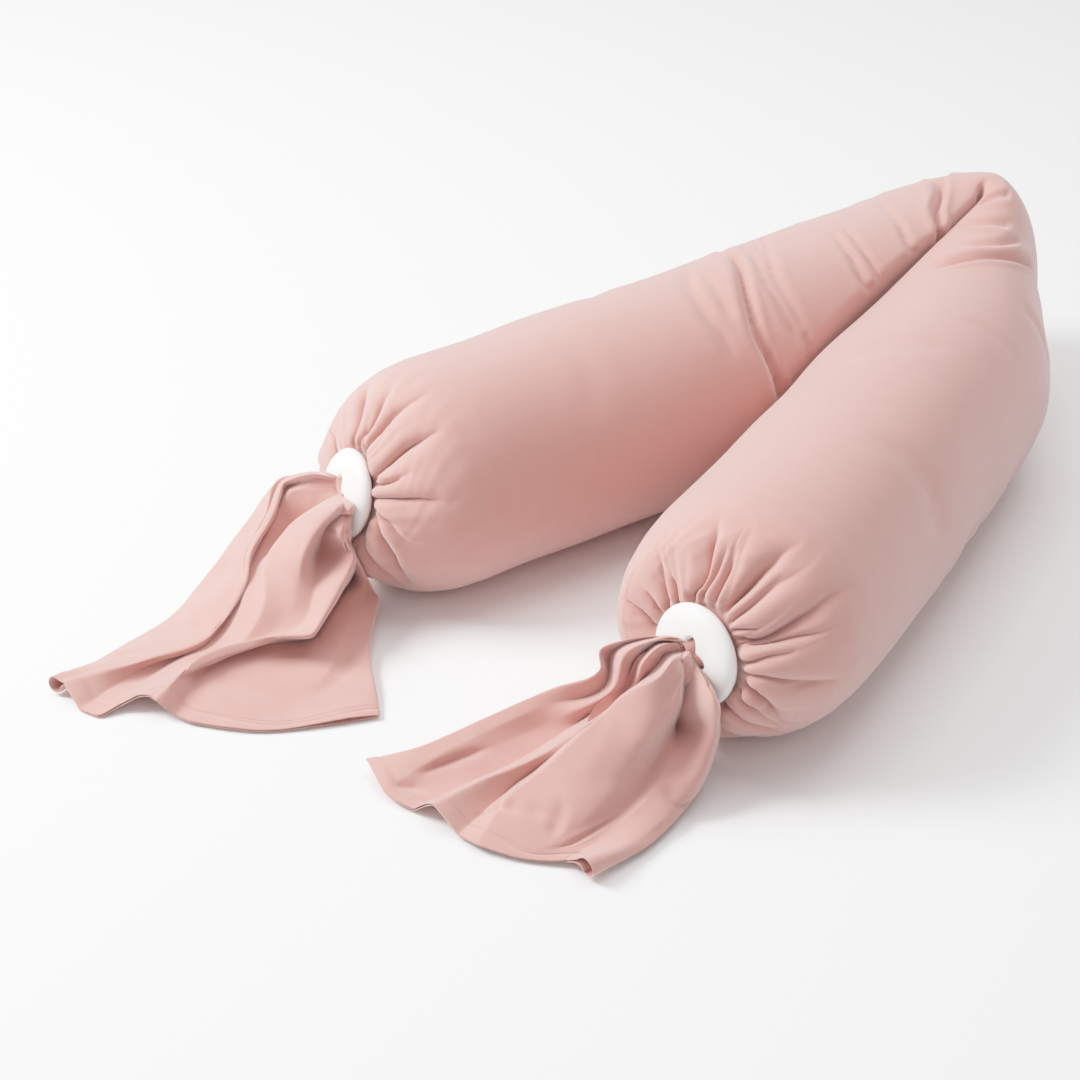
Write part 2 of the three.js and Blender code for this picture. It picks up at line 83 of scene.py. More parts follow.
# Rings and sections of the filled tube: heading is the way of travel, tilt its rise, and the others are the
# half widths away from and towards the other leg, and the height
RINGS = {
    "a": {"x": -88, "y": -191, "z": 115, "heading": 66, "tilt": -17, "outer": 119, "inner": 118, "top": 226},
    "b": {"x": 333, "y": -159, "z": 112, "heading": -96, "tilt": 14, "outer": 120, "inner": 124, "top": 227},
}
SECTIONS = table(
    "x y heading outer inner top",
    (-65, -131, 75, 121, 120, 228),
    (-24, 21, 75, 121, 121, 231),
    (14, 161, 75, 123, 121, 233),
    (60, 333, 75, 127, 122, 238),
    (98, 480, 75, 129, 120, 242),
    (112, 545, 68, 118, 104, 246),
    (126, 585, 48, 93, 78, 254),
    (143, 603, 0, 60, 44, 258),
    (166, 588, -48, 54, 66, 252),
    (180, 545, -66, 68, 88, 240),
    (194, 500, -70, 90, 104, 233),
    (231, 396, -73, 115, 114, 231),
    (258, 278, -77, 121, 119, 231),
    (285, 150, -77, 122, 121, 231),
    (314, 10, -79, 123, 122, 230),
    (328, -87, -82, 123, 124, 229),
)

# Profile of a filled end from the ring's hole outwards: share of the way from the hole to the full section,
# how far along the tube, and place measured along the cloth
DOME = table(
    "share along place",
    (0.0, 0.3, -83.3),
    (0.1, 0.5, -72.8),
    (0.2, 0.4, -62.3),
    (0.28, -1.2, -54.0),
    (0.33, -5.0, -48.6),
    (0.38, -9.0, -43.4),
    (0.46, -10.5, -34.1),
    (0.58, -8.5, -21.5),
    (0.7, -2.0, -7.9),
    (0.82, 11.0, 9.5),
    (0.92, 31.5, 31.2),
    (0.98, 60.0, 59.9),
    (1.0, 92.0, 92.0),
)
DOME_LENGTH = 92.0
DOME_LEAN = 24.0                    # how far the top of a filled end leans back from its ring
RIM = 43.4                          # the ring's rim lies this far before place 0, measured along the cloth

# Pleats drawn in by the rings, as paths of (place along the cloth, angle). Place 0 is at the ring's back, and
# the paths of end B count back from its own ring. deep is the depth at the ring, wide the half width on the
# side of smaller and of larger angles, and lip carries the cloth of one side over the valley.
PLEATS = {
    "a": table(
        "deep wide lip path",
        (7, (4, 6), 0, [(-46, 12), (-39, 18), (-23, 24), (-7, 21)]),
        (15, (6, 11), 3, [(-46, 57), (-28, 64), (-7, 63), (14, 60), (39, 50)]),
        (6, (6, 8), 0, [(-46, 75), (-18, 86), (7, 86), (37, 84)]),
        (7, (6, 9), 0, [(-46, 92), (-9, 98), (21, 101), (44, 102), (62, 102)]),
        (14, (6, 11), 4, [(-46, 131), (-21, 126), (-2, 124), (14, 124), (30, 124), (46, 124)]),
        (6, (4, 5), 0, [(-46, 137), (-23, 139), (-9, 140)]),
        (10, (5, 9), 3, [(-46, 154), (-25, 152), (-5, 154), (14, 156), (32, 158), (41, 160)]),
        (5, (5, 8), 0, [(-46, 162), (-21, 170), (-7, 178), (2, 182), (9, 183)]),
        (15, (5, 12), -5, [(-46, 168), (-34, 174), (-23, 183), (-11, 196), (-2, 211), (9, 222)]),
        (9, (6, 9), 0, [(-46, 196), (-34, 209), (-21, 217), (5, 232)]),
        (8, (6, 10), 0, [(-46, 238), (10, 252), (40, 254)]),
        (10, (8, 8), 0, [(-46, 275), (0, 270), (52, 274)]),
        (8, (9, 6), 0, [(-46, 310), (0, 302), (48, 299)]),
        (10, (8, 10), 3, [(-46, 344), (-4, 338), (46, 341)]),
    ),
    "b": table(
        "deep wide lip path",
        (5, (6, 6), 0, [(-46, 8), (-28, 10), (-9, 6), (9, 2), (44, -2)]),
        (6, (4, 6), 0, [(-46, 18), (-39, 20), (-21, 24), (-4, 22)]),
        (10, (5, 9), -2, [(-46, 36), (-23, 32), (-7, 29), (12, 26), (37, 24)]),
        (13, (8, 10), 0, [(-46, 43), (-32, 39), (-21, 37), (-4, 36), (21, 36), (51, 37), (81, 34)]),
        (6, (4, 5), 0, [(-46, 54), (-32, 49), (-23, 45)]),
        (5, (8, 10), 0, [(-46, 63), (-18, 60), (2, 58), (30, 55), (58, 54)]),
        (14, (8, 11), 0, [(-46, 75), (-25, 72), (-7, 69), (12, 67), (35, 66), (55, 64)]),
        (7, (5, 8), 0, [(-46, 89), (-28, 88), (-9, 86), (9, 86)]),
        (9, (4, 8), 0, [(-46, 103), (-25, 96), (-9, 93), (5, 91)]),
        (14, (5, 10), 3, [(-46, 116), (-25, 103), (-4, 101), (14, 100), (35, 101)]),
        (6, (5, 8), 0, [(-46, 138), (-34, 132), (-23, 130)]),
        (5, (6, 8), 0, [(-46, 155), (-37, 146), (-18, 138), (-4, 134), (18, 134)]),
        (4, (4, 6), 0, [(-46, 165), (-32, 158), (-21, 155)]),
        (6, (4, 6), 0, [(-46, 181), (-28, 172), (-9, 170), (7, 172)]),
        (10, (8, 10), 0, [(-46, 210), (0, 216), (44, 214)]),
        (9, (7, 9), 0, [(-46, 242), (0, 246), (48, 246)]),
        (10, (8, 8), 0, [(-46, 272), (0, 273), (44, 272)]),
        (8, (9, 6), 0, [(-46, 300), (0, 298), (50, 296)]),
        (9, (7, 9), 0, [(-46, 318), (-37, 323), (-23, 321), (10, 316)]),
        (6, (5, 6), 0, [(-46, 349), (-39, 342), (-23, 338), (-9, 330), (5, 324)]),
        (13, (6, 9), 0, [(-46, 358), (-25, 351), (-11, 340), (2, 329)]),
    ),
}
LOBE = 5.5                          # how far the cloth bulges between two pleats
MINOR_PLEATS = 26
BACK_CREASES = 30
SEEDS = {"a": 11, "b": 12, "back": 21}
PLEAT_REACH = 150.0                 # pleats are worked out only this close to their ring
COLUMNS = 256                       # points round the filled tube
ROW_STEP = {"photo": 4.4, "plain": 9.0}         # between its rows: where the deep creases are, and elsewhere
CREASED = (370, 1010)
# Shares of a crease where it has come to full depth and where it starts to fade, the width of its trough and
# the height of its shoulders
BODY_CREASE = (0.18, 0.8, 0.75, 0.28)
TAIL_CREASE = (0.25, 0.7, 0.7, 0.25)

# Creases across the filled tube, as paths of (place, angle). A negative depth is a ridge.
CREASES = table(
    "deep wide path",
    (12, (7, 3.5), [(507, 50), (486, 73), (469, 90), (447, 111), (434, 132), (438, 148), (444, 166),
        (448, 182)]),
    (4.5, (7, 7), [(425, 71), (394, 100), (390, 116), (394, 130), (390, 144)]),
    (3, (5, 5), [(429, 80), (416, 108), (412, 123)]),
    (4, (4, 6), [(504, 74), (482, 98), (473, 116), (473, 138), (482, 149)]),
    (4.5, (4, 6), [(552, 56), (512, 84), (486, 112), (486, 135), (495, 147)]),
    (4, (3, 3), [(486, 138), (482, 156)]),
    (4.5, (4, 5), [(596, 84), (588, 108), (583, 125), (592, 137)]),
    (4, (4, 5), [(618, 82), (605, 108), (605, 135)]),
    (4, (4, 5), [(689, 72), (671, 102), (662, 115), (671, 129)]),
    (14, (6, 5), [(784, 60), (766, 80), (750, 93), (724, 106), (715, 123), (716, 140)]),
    (5, (5, 6), [(847, 75), (860, 98), (869, 108)]),
    (4.5, (5, 6), [(915, 112), (909, 96), (891, 66)]),
    (5, (5, 6), [(960, 96), (948, 83), (896, 57)]),
    (10, (4, 8), [(1010, 113), (1001, 101), (979, 86), (953, 68), (926, 52), (887, 31)]),
    (3, (4, 6), [(1102, 76), (1102, 60), (1094, 40)]),
    (1.6, (8, 8), [(1206, 104), (1182, 88), (1170, 68)]),
    (1.6, (8, 8), [(1238, 114), (1214, 98), (1195, 80)]),
    (2, (12, 12), [(300, 20), (322, 52), (318, 84)]),
    (1.6, (12, 12), [(214, 150), (236, 108), (228, 70)]),
    (5, (7, 8), [(560, 8), (530, 28), (508, 44)]),
    (4, (7, 7), [(640, 5), (622, 34), (628, 60)]),
    (5, (6, 8), [(742, 20), (716, 38), (714, 60)]),
    (3, (8, 8), [(1030, 14), (1010, 32), (1016, 54)]),
    (2, (12, 12), [(1370, 10), (1352, 44), (1362, 76)]),
)

# Empty ends: lines from the ring to the hem, from the tube's outer edge across to its inner one. A point is a
# pixel of the photograph with, by the ring, how far off the ring's face it is and, from there on, its height.
# sharp is 1 where the cloth turns a corner on the line, and corner lists the points where the line does.
TAIL_LINES = {
    "a": table(
        "line sharp by_ring falling corner",
        ("outer edge", 0, [(336, 476, 1), (314, 471, 16)], [(281, 480, 110), (247, 521, 78),
            (230, 543, 58), (213, 566, 40), (170, 614, 12), (110, 652, 6), (49, 686, 8)]),
        ("flap", 0.9, [(336, 479, 1), (313, 474, 23)], [(284, 482, 120), (272, 518, 94), (252, 551, 70),
            (246, 583, 52), (208, 638, 26), (146, 660, 18), (64, 684, 16)], [2]),
        ("under the flap", 1, [(336, 484, 1), (310, 481, 20)], [(285, 488, 104), (270, 523, 78),
            (253, 556, 56), (243, 588, 40), (207, 643, 16), (148, 666, 7), (80, 710, 2)], [2]),
        ("first fold", 0.4, [(336, 488, 1), (312, 489, 21)], [(291, 491, 114), (275, 518, 88),
            (257, 560, 58), (250, 592, 46), (216, 644, 20), (160, 668, 8), (98, 716, 3)], [2]),
        ("second valley", 0.8, [(337, 494, 1), (331, 504, 5)], [(312, 521, 86), (294, 539, 70),
            (262, 562, 58), (258, 598, 48), (226, 648, 22), (172, 670, 10), (118, 708, 6)]),
        ("second fold", 0.95, [(339, 495, 1), (325, 498, 21)], [(305, 512, 110), (286, 530, 93),
            (267, 562, 70), (266, 600, 53), (236, 650, 25), (184, 672, 20), (138, 697, 16)]),
        ("panel", 0.3, [(344, 499, 1), (340, 508, 18)], [(324, 523, 114), (304, 556, 88), (297, 585, 66),
            (290, 612, 46), (254, 646, 28), (196, 668, 26), (148, 696, 20)]),
        ("dip", 0.5, [(345, 501, 1), (341, 514, 6)], [(327, 528, 96), (318, 556, 66), (314, 592, 56),
            (306, 620, 42), (268, 642, 33), (200, 664, 28), (152, 698, 20)]),
        ("crest", 0.4, [(346, 502.5, 1), (343, 519, 9)], [(338, 531, 107), (354, 557, 80), (335, 597, 63),
            (313, 635, 46), (264, 638, 38), (203, 656, 32), (156, 701, 20)], [5]),
        ("under the crest", 0.4, [(346, 503, 1), (345, 522, 9)], [(343, 536, 103), (353, 574, 30),
            (334, 601, 15), (313, 638, 10), (262, 646, 18), (206, 670, 15), (176, 716, 5)], [5]),
        ("corner", 0.6, [(346, 504, 1), (346, 526, 7)], [(346, 541, 97), (362, 581, 38), (341, 601, 26),
            (320, 639, 15), (268, 656, 17), (214, 682, 12), (190, 722, 4)], [5]),
        ("plate", 0, [(346, 505, 1), (347, 529, 5)], [(349, 545, 92), (368, 584, 35), (362, 606, 24),
            (350, 634, 15), (322, 684, 7), (286, 710, 5), (264, 731, 3)]),
        ("inner edge", 0, [(346, 506, 1), (347, 531, 3)], [(351, 548, 87), (372, 588, 32), (379, 598, 27),
            (377, 612, 21), (371, 650, 14), (378, 688, 8), (383, 716, 3)]),
    ),
    "b": table(
        "line sharp by_ring falling corner",
        ("outer edge", 0, [(693, 664, 1), (706, 680, 4), (717, 698, 5)], [(720, 724, 64), (716, 750, 34),
            (701, 788, 14), (654, 842, 6), (592, 878, 7)]),
        ("side panel", 0.2, [(692, 662, 1), (705, 682, 12), (714, 700, 16)], [(716, 724, 78),
            (708, 758, 46), (684, 800, 20), (634, 842, 12), (584, 866, 14)]),
        ("first valley", 1, [(688, 661, 1), (686, 680, 3), (683, 700, 2)], [(676, 722, 44), (674, 748, 44),
            (652, 794, 26), (606, 836, 11), (566, 862, 5)]),
        ("lip", 0.6, [(687, 657, 1), (684, 676, 16), (680, 694, 22)], [(671, 722, 66), (664, 748, 44),
            (642, 792, 23), (597, 836, 11), (556, 862, 5)]),
        ("panel", 0, [(686, 655, 1), (679, 670, 23), (669, 692, 29)], [(650, 728, 78), (626, 770, 47),
            (590, 812, 27), (552, 842, 13), (520, 858, 5)]),
        ("crest", 0.9, [(685, 653, 1), (674, 659, 26), (660, 676, 38)], [(626, 694, 98), (584, 733, 69),
            (544, 768, 46), (508, 798, 29), (478, 846, 6)]),
        ("under the crest", 1, [(684, 651, 1), (666, 654, 7), (655, 668, 12)], [(634, 690, 66),
            (579, 736, 61), (533, 773, 24), (498, 801, 12), (458, 836, 3)]),
        ("second crest", 0.7, [(683, 647, 1), (662, 645, 24), (645, 660, 32)], [(634, 687, 82),
            (573, 735, 60), (528, 762, 38), (478, 782, 29), (434, 806, 21)]),
        ("second valley", 0.8, [(682, 643, 1), (658, 642, 8), (639, 661, 12)], [(627, 688, 62),
            (562, 734, 34), (516, 764, 17), (466, 786, 8), (414, 811, 3)]),
        ("slope", 0.3, [(682, 641, 1), (656, 640, 24), (627, 652, 36)], [(614, 688, 82), (552, 720, 42),
            (492, 748, 25), (438, 768, 14), (396, 802, 4)]),
        ("dip", 0.7, [(681, 640, 1), (652, 638, 10), (615, 649, 22)], [(606, 688, 64), (544, 706, 53),
            (478, 736, 34), (428, 762, 20), (384, 792, 6)]),
        ("inner edge", 0, [(681, 639, 1), (648, 636, 15)], [(604, 646, 112), (600, 669, 94),
            (546, 690, 64), (476, 721, 41), (414, 748, 24), (365, 757, 13)]),
    ),
}

# Where the cloth of an empty end leaves its ring: angles round the hole of the two edges, upper side between
HOLE_EDGES = {"a": (70, 190), "b": (-25, 150)}
# Half thickness of the bundle at each row of points
PLUMP = {"a": [1, 6, 6, 4, 3, 1, 0, 0, 0], "b": [1, 7, 7, 5, 3, 0, 0, 0]}
BUNDLE_ACROSS = {"a": (0.0, 0.62), "b": (0.08, 0.95)}
# Pleats that fan out from the ring: place across at the ring and at the far end, how far along, and depth
TAIL_PLEATS = {
    "a": table(
        "u0 u1 reach deep",
        (0.05, 0.04, 0.12, 1.5),
        (0.15, 0.13, 0.12, 2),
        (0.26, 0.24, 0.28, 4),
        (0.36, 0.38, 0.2, 3),
        (0.47, 0.5, 0.24, 4),
        (0.58, 0.6, 0.18, 3),
        (0.68, 0.72, 0.26, 4),
        (0.8, 0.82, 0.18, 3),
        (0.91, 0.92, 0.2, 3),
    ),
    "b": table(
        "u0 u1 reach deep",
        (0.08, 0.06, 0.2, 3),
        (0.2, 0.18, 0.24, 3),
        (0.33, 0.3, 0.26, 4),
        (0.44, 0.43, 0.2, 3),
        (0.55, 0.56, 0.24, 4),
        (0.66, 0.68, 0.22, 4),
        (0.78, 0.8, 0.24, 4),
        (0.9, 0.91, 0.18, 3),
    ),
}
# Small creases of the empty ends, as paths of (mm from the ring, place across). A negative depth is a ridge.
TAIL_CREASES = {
    "a": table(
        "deep wide path",
        (4.0, (9, 9), [(310, 0.225), (270, 0.219), (240, 0.19)]),
        (2.6, (4, 5), [(305, 0.022), (284, 0.059), (262, 0.095)]),
        (2.8, (3, 6), [(205, 0.045), (215, 0.085), (226, 0.11)]),
        (2.2, (14, 16), [(300, 0.76), (226, 0.773), (195, 0.815)]),
        (-1.8, (6, 8), [(120, 0.2), (155, 0.228), (190, 0.222)]),
        (2.4, (6, 9), [(70, 0.42), (108, 0.434), (140, 0.47)]),
        (-1.6, (8, 8), [(165, 0.085), (202, 0.069), (235, 0.05)]),
        (-2.6, (12, 14), [(150, 0.8), (202, 0.85), (250, 0.84)]),
        (1.6, (6, 8), [(318, 0.56), (296, 0.61), (282, 0.68)]),
        (4.5, (2.5, 4), [(6, 0.365), (32, 0.356), (49, 0.354), (73, 0.354), (100, 0.352)]),
        (2.6, (2, 3), [(44, 0.5), (53, 0.57), (58, 0.64), (60, 0.72)]),
        (1.8, (1.5, 2), [(4, 0.232), (20, 0.236), (46, 0.24)]),
        (1.2, (1.5, 2), [(3, 0.13), (18, 0.125), (34, 0.11)]),
    ),
    "b": table(
        "deep wide path",
        (4.6, (3, 4.5), [(228, 0.545), (244, 0.538), (256, 0.525), (266, 0.5)]),
        (4.0, (3, 4), [(272, 0.61), (262, 0.55), (256, 0.5), (240, 0.47)]),
        (4.0, (3, 4), [(240, 0.375), (216, 0.395), (190, 0.425)]),
        (3.4, (2.5, 3.5), [(240, 0.44), (222, 0.424), (214, 0.39)]),
        (5.0, (3, 7), [(180, 0.18), (190, 0.12), (200, 0.06), (208, 0.01)]),
        (3.2, (5, 6), [(262, 0.88), (227, 0.862), (185, 0.87)]),
        (2.8, (4, 5), [(284, 0.94), (278, 0.88), (268, 0.81)]),
        (-2.2, (10, 14), [(95, 0.48), (134, 0.446), (175, 0.43)]),
        (-2.0, (6, 8), [(100, 0.11), (141, 0.09), (180, 0.092)]),
        (3.2, (5, 7), [(264, 0.3), (236, 0.28), (214, 0.24)]),
    ),
}
MOUTH = {"a": (7.5, 2.0), "b": (8.0, 2.0)}      # half height of the open hem by its outer and inner corner
TAIL_LENGTH = {"a": 345.0, "b": 295.0}          # of the empty tube from its ring to the hem
HEM_DEPTH = 15.0                                # from the hem's edge to its stitches
LAYER_HALF = 1.5                                # half thickness of the flattened tube
TAIL_COLUMNS = 156
TAIL_ROWS = 128                                 # down to the hem's band
HEM_ROWS = 18                                   # in that band
HEM_BAND = 22.0                                 # its depth
STRIP = 6                                       # least columns between two lines
RIPPLES = 17                                    # round the bunched cloth in the ring
# Rows from the ring's hole to an empty end's first row: depth behind the face, and share of the way out
LEAD = ((9.0, 0.0), (6.0, 0.2), (3.0, 0.45), (0.5, 0.65), (-1.2, 0.8))
TOP_ROOM = 0.0042                               # metres kept from the filled tube, upper and lower layer
LOW_ROOM = 0.0014


def smoothstep(x, low, high):
    t = np.clip((x - low) / (high - low), 0, 1)
    return t * t * (3 - 2 * t)


def lerp(a, b, t):
    return a + (b - a) * t


def unit(ways):
    return ways / np.maximum(np.linalg.norm(ways, axis=-1, keepdims=True), 1e-9)


def add_up(steps):
    """Running total of steps, from 0."""
    return np.concatenate([[0], np.cumsum(steps)])


def cloth_length(grid):
    """Length along the cloth from a grid's first row to each row."""
    return add_up(np.linalg.norm(np.diff(grid, axis=0), axis=-1).mean(1))


def bell(x, wide):
    return np.exp(-((x / wide) ** 2))


def hermite(t, span, start, finish, leave, arrive):
    """Cubic from one value to the next, with a slope at each."""
    return (
        (2 * t**3 - 3 * t**2 + 1) * start
        + (t**3 - 2 * t**2 + t) * span * leave
        + (3 * t**2 - 2 * t**3) * finish
        + (t**3 - t**2) * span * arrive
    )


def column(rows, name, at):
    """Smooth value of one column of a table at places along it."""
    places = np.array([row["at"] for row in rows], float)
    values = np.array([row[name] for row in rows], float)
    slope = np.diff(values) / np.diff(places)
    tangent = np.empty(len(values))
    tangent[0], tangent[-1] = slope[0], slope[-1]
    tangent[1:-1] = (values[2:] - values[:-2]) / (places[2:] - places[:-2])
    at = np.clip(at, places[0], places[-1])
    k = np.clip(np.searchsorted(places, at, side="right") - 1, 0, len(values) - 2)
    span = places[k + 1] - places[k]
    return hermite((at - places[k]) / span, span, values[k], values[k + 1], tangent[k], tangent[k + 1])


def spline(knots, values, at, sharp=None):
    """Cubic curve through rows of values; at a sharp knot it turns a corner."""
    knots = np.asarray(knots, float)
    values = np.asarray(values, float)
    sharp = np.zeros(len(knots)) if sharp is None else np.asarray(sharp, float)
    shape = (-1,) + (1,) * (values.ndim - 1)
    h = np.diff(knots).reshape(shape)
    slope = np.diff(values, axis=0) / h
    inner = (slope[:-1] * h[1:] + slope[1:] * h[:-1]) / (h[1:] + h[:-1])
    smooth = np.concatenate([slope[:1], inner, slope[-1:]])
    if sharp.ndim == 1:
        sharp = sharp.reshape(shape)
    before = lerp(smooth, np.concatenate([slope[:1], slope]), sharp)
    after = lerp(smooth, np.concatenate([slope, slope[-1:]]), sharp)
    k = np.clip(np.searchsorted(knots, at, side="right") - 1, 0, len(knots) - 2)
    t = ((at - knots[k]) / (knots[k + 1] - knots[k])).reshape(shape)
    return hermite(t, h[k], values[k], values[k + 1], after[k], before[k + 1])


def axes(heading, tilt):
    """Direction of travel, outer side and upward side at headings and tilts in degrees."""
    h, t = np.broadcast_arrays(np.radians(heading), np.radians(tilt))
    axis = np.stack([np.cos(h) * np.cos(t), np.sin(h) * np.cos(t), np.sin(t)], -1)
    outward = np.stack([-np.sin(h), np.cos(h), 0 * h], -1)
    return axis, outward, np.cross(axis, outward)


def ring_centre(ring):
    return np.array([ring["x"], ring["y"], ring["z"]], float)


def ring_place(ring, angle, radius, along):
    """Points round a ring, at angles in radians."""
    axis, outward, up = axes(ring["heading"], ring["tilt"])
    angle, radius, along = np.broadcast_arrays(angle, radius, along)
    return (
        ring_centre(ring)
        + along[..., None] * axis
        + (radius * np.cos(angle))[..., None] * outward
        + (radius * np.sin(angle))[..., None] * up
    )


def from_ring(points, ring, out):
    """The way out of a ring, and points as how far along it, how far from the axis and the angle round it."""
    axis, outward, up = axes(ring["heading"], ring["tilt"])
    rel = points - ring_centre(ring)
    x, y = rel @ outward, rel @ up
    return axis * out, rel @ axis * out, np.hypot(x, y), np.arctan2(y, x)


def view_axes():
    """Ways to the right, up and back towards the camera in the photograph."""
    azimuth, elevation = np.radians(AZIMUTH), np.radians(ELEVATION)
    across, rise = np.cos(elevation), np.sin(elevation)
    back = np.array([np.sin(azimuth) * across, -np.cos(azimuth) * across, rise])
    right = np.array([np.cos(azimuth), np.sin(azimuth), 0.0])
    return right, np.cross(back, right), back


def photo_ray(x, y):
    """The camera's place and the way it looks through a pixel of the photograph."""
    right, up, back = view_axes()
    scale = LENS / SENSOR * PHOTO_SIZE
    return back * DISTANCE, ((x - PHOTO_SIZE / 2) * right - (y - PHOTO_SIZE / 2) * up) / scale - back


def line_points(line, ring, out):
    """Points of one line of an empty end."""
    centre = ring_centre(ring)
    axis = axes(ring["heading"], ring["tilt"])[0] * out
    points = []
    for x, y, off in line["by_ring"]:
        eye, way = photo_ray(x, y)
        points.append(eye + way * ((RING_THICK / 2 + off - (eye - centre) @ axis) / (way @ axis)))
    for x, y, height in line["falling"]:
        eye, way = photo_ray(x, y)
        points.append(eye + way * ((height - eye[2]) / way[2]))
    return points


def hole_radius(angle):
    return HOLE_MEAN + HOLE_LOBE * np.cos(HOLE_LOBES * angle)


def neck_radius(angle):
    return hole_radius(angle) - NECK_GAP


def rim_radius(angle):
    return RING_RADIUS + RING_EGG * np.cos(2 * angle + np.pi / 3)


def ring_section(share):
    """Thickness of a ring as a share of its full one, at a share of the way from its axis to its rim."""
    return np.sqrt(np.clip(1 - share**3.6, 0, 1))


def grid_normals(grid, closed):
    """Unit normals of a grid of points whose columns run round a tube or across a sheet."""
    if closed:
        across = np.roll(grid, -1, 1) - np.roll(grid, 1, 1)
    else:
        across = np.gradient(grid, axis=1)
    return unit(np.cross(across, np.gradient(grid, axis=0)))


def soften(grid, rows, cols, closed):
    """Blurs a grid of points by a few rows and columns, keeping its open edges where they are."""

    def blur(values, axis, sigma, wrap):
        if sigma <= 0:
            return values
        reach = int(np.ceil(3 * sigma))
        weights = np.exp(-0.5 * (np.arange(-reach, reach + 1) / sigma) ** 2)
        weights /= weights.sum()
        pad = [(0, 0)] * values.ndim
        pad[axis] = (reach, reach)
        if wrap:
            padded = np.pad(values, pad, mode="wrap")
        else:
            padded = np.pad(values, pad, mode="reflect", reflect_type="odd")
        size = values.shape[axis]
        out = np.zeros_like(values)
        for k, w in enumerate(weights):
            out += w * np.take(padded, range(k, k + size), axis)
        return out

    return blur(blur(grid, 1, cols, closed), 0, rows, False)


# The filled tube


def ring_row(ring, along, following):
    centre = ring_place(ring, 0.0, 0.0, along)
    return {**ring, "x": centre[0], "y": centre[1], "neck": centre[2], "heading": following["heading"]}


def with_places(rows):
    at, out = 0.0, []
    for k, row in enumerate(rows):
        if k:
            at += np.hypot(row["x"] - rows[k - 1]["x"], row["y"] - rows[k - 1]["y"])
        out.append({**row, "at": at})
    return out


BODY = with_places(
    [
        ring_row(RINGS["a"], RING_THICK / 2, SECTIONS[0]),
        *SECTIONS,
        ring_row(RINGS["b"], -RING_THICK / 2, SECTIONS[-1]),
    ]
)
BODY_LENGTH = BODY[-1]["at"]


def body_points(at, share, angle):
    """Points of the plain filled tube; at and share are columns, angle is a row in radians."""
    value = {n: column(BODY, n, at) for n in ("x", "y", "heading", "outer", "inner", "top")}
    beyond = at - np.clip(at, 0, BODY_LENGTH)
    near_a = at < BODY_LENGTH / 2
    neck = neck_radius(angle)
    neck_z = np.where(near_a, BODY[0]["neck"], BODY[-1]["neck"])
    middle = lerp(neck_z, value["top"] * WAIST, share)
    s, c = np.sin(angle), np.cos(angle)
    rise = lerp(neck, np.where(s > 0, value["top"] - middle, middle + FLOOR_SINK), share)
    side = lerp(neck, np.where(c > 0, value["outer"], value["inner"]), share)
    slant = np.maximum(np.abs(np.sin(np.radians(value["heading"]))), 0.2)
    room = np.maximum((np.abs(CONTACT_X - value["x"]) - CONTACT_GAP / 2) / slant, BEND_ROOM) - CONTACT_SOFT
    over = -side * c - room
    pressed = room + CONTACT_SOFT * (1 - np.exp(-np.maximum(over, 0) / CONTACT_SOFT))
    pressed = pressed / np.where(c < 0, -c, 1)
    side = np.where((over > 0) & (c < 0), pressed, side)
    off = smoothstep(share, 0.35, 0.85)
    heading = lerp(np.where(near_a, RINGS["a"]["heading"], RINGS["b"]["heading"]), value["heading"], off)
    tilt = lerp(np.where(near_a, RINGS["a"]["tilt"], RINGS["b"]["tilt"]), 0, off)
    axis, outward, up = axes(heading, tilt)
    from_end = np.minimum(at, BODY_LENGTH - at)
    lean = DOME_LEAN * off * np.maximum(0, 1 - from_end / DOME_LENGTH) * np.maximum(0, s)
    forward = beyond + np.where(near_a, 1, -1) * lean
    centre = np.stack([value["x"], value["y"], middle], -1)
    points = (
        centre
        + forward[..., None] * axis
        + (side * c)[..., None] * outward
        + (rise * s)[..., None] * up
    )
    points[..., 2] = np.maximum(points[..., 2], 0)
    return points


def body_rows():
    """Rows of the filled tube as (at, share, place), place running along the cloth."""
    share, along, place = (np.array([p[n] for p in DOME]) for n in ("share", "along", "place"))
    knots = np.concatenate([np.linspace(place[0], -RIM - 14, 5)[:-1], np.arange(-RIM - 14, DOME_LENGTH, 2.3)])
    dome = np.stack([np.interp(knots, place, along), np.interp(knots, place, share), knots], 1)
    smooth = soften(dome[:, None, :2], 2.0, 0, False)[:, 0]
    late = knots > -RIM - 8
    dome[late, :2] = smooth[late]
    legs, at = [], DOME_LENGTH
    while at < BODY_LENGTH - DOME_LENGTH:
        legs.append((at, 1.0, at))
        at += ROW_STEP["photo" if CREASED[0] < at < CREASED[1] else "plain"]
    end = dome[::-1] * [-1, 1, -1] + [BODY_LENGTH, 0, BODY_LENGTH]
    return np.concatenate([dome, legs, end])


def pleat_centres(end, run):
    """Angles of an end's pleats at places along the cloth, a row for each place."""
    centres = []
    for pleat in PLEATS[end]:
        knots = np.array([p[0] for p in pleat["path"]], float)
        angles = np.unwrap([np.radians(p[1]) for p in pleat["path"]])
        centres.append(np.degrees(np.interp(run, knots, angles)))
    return np.sort(np.array(centres).T % 360, axis=1)


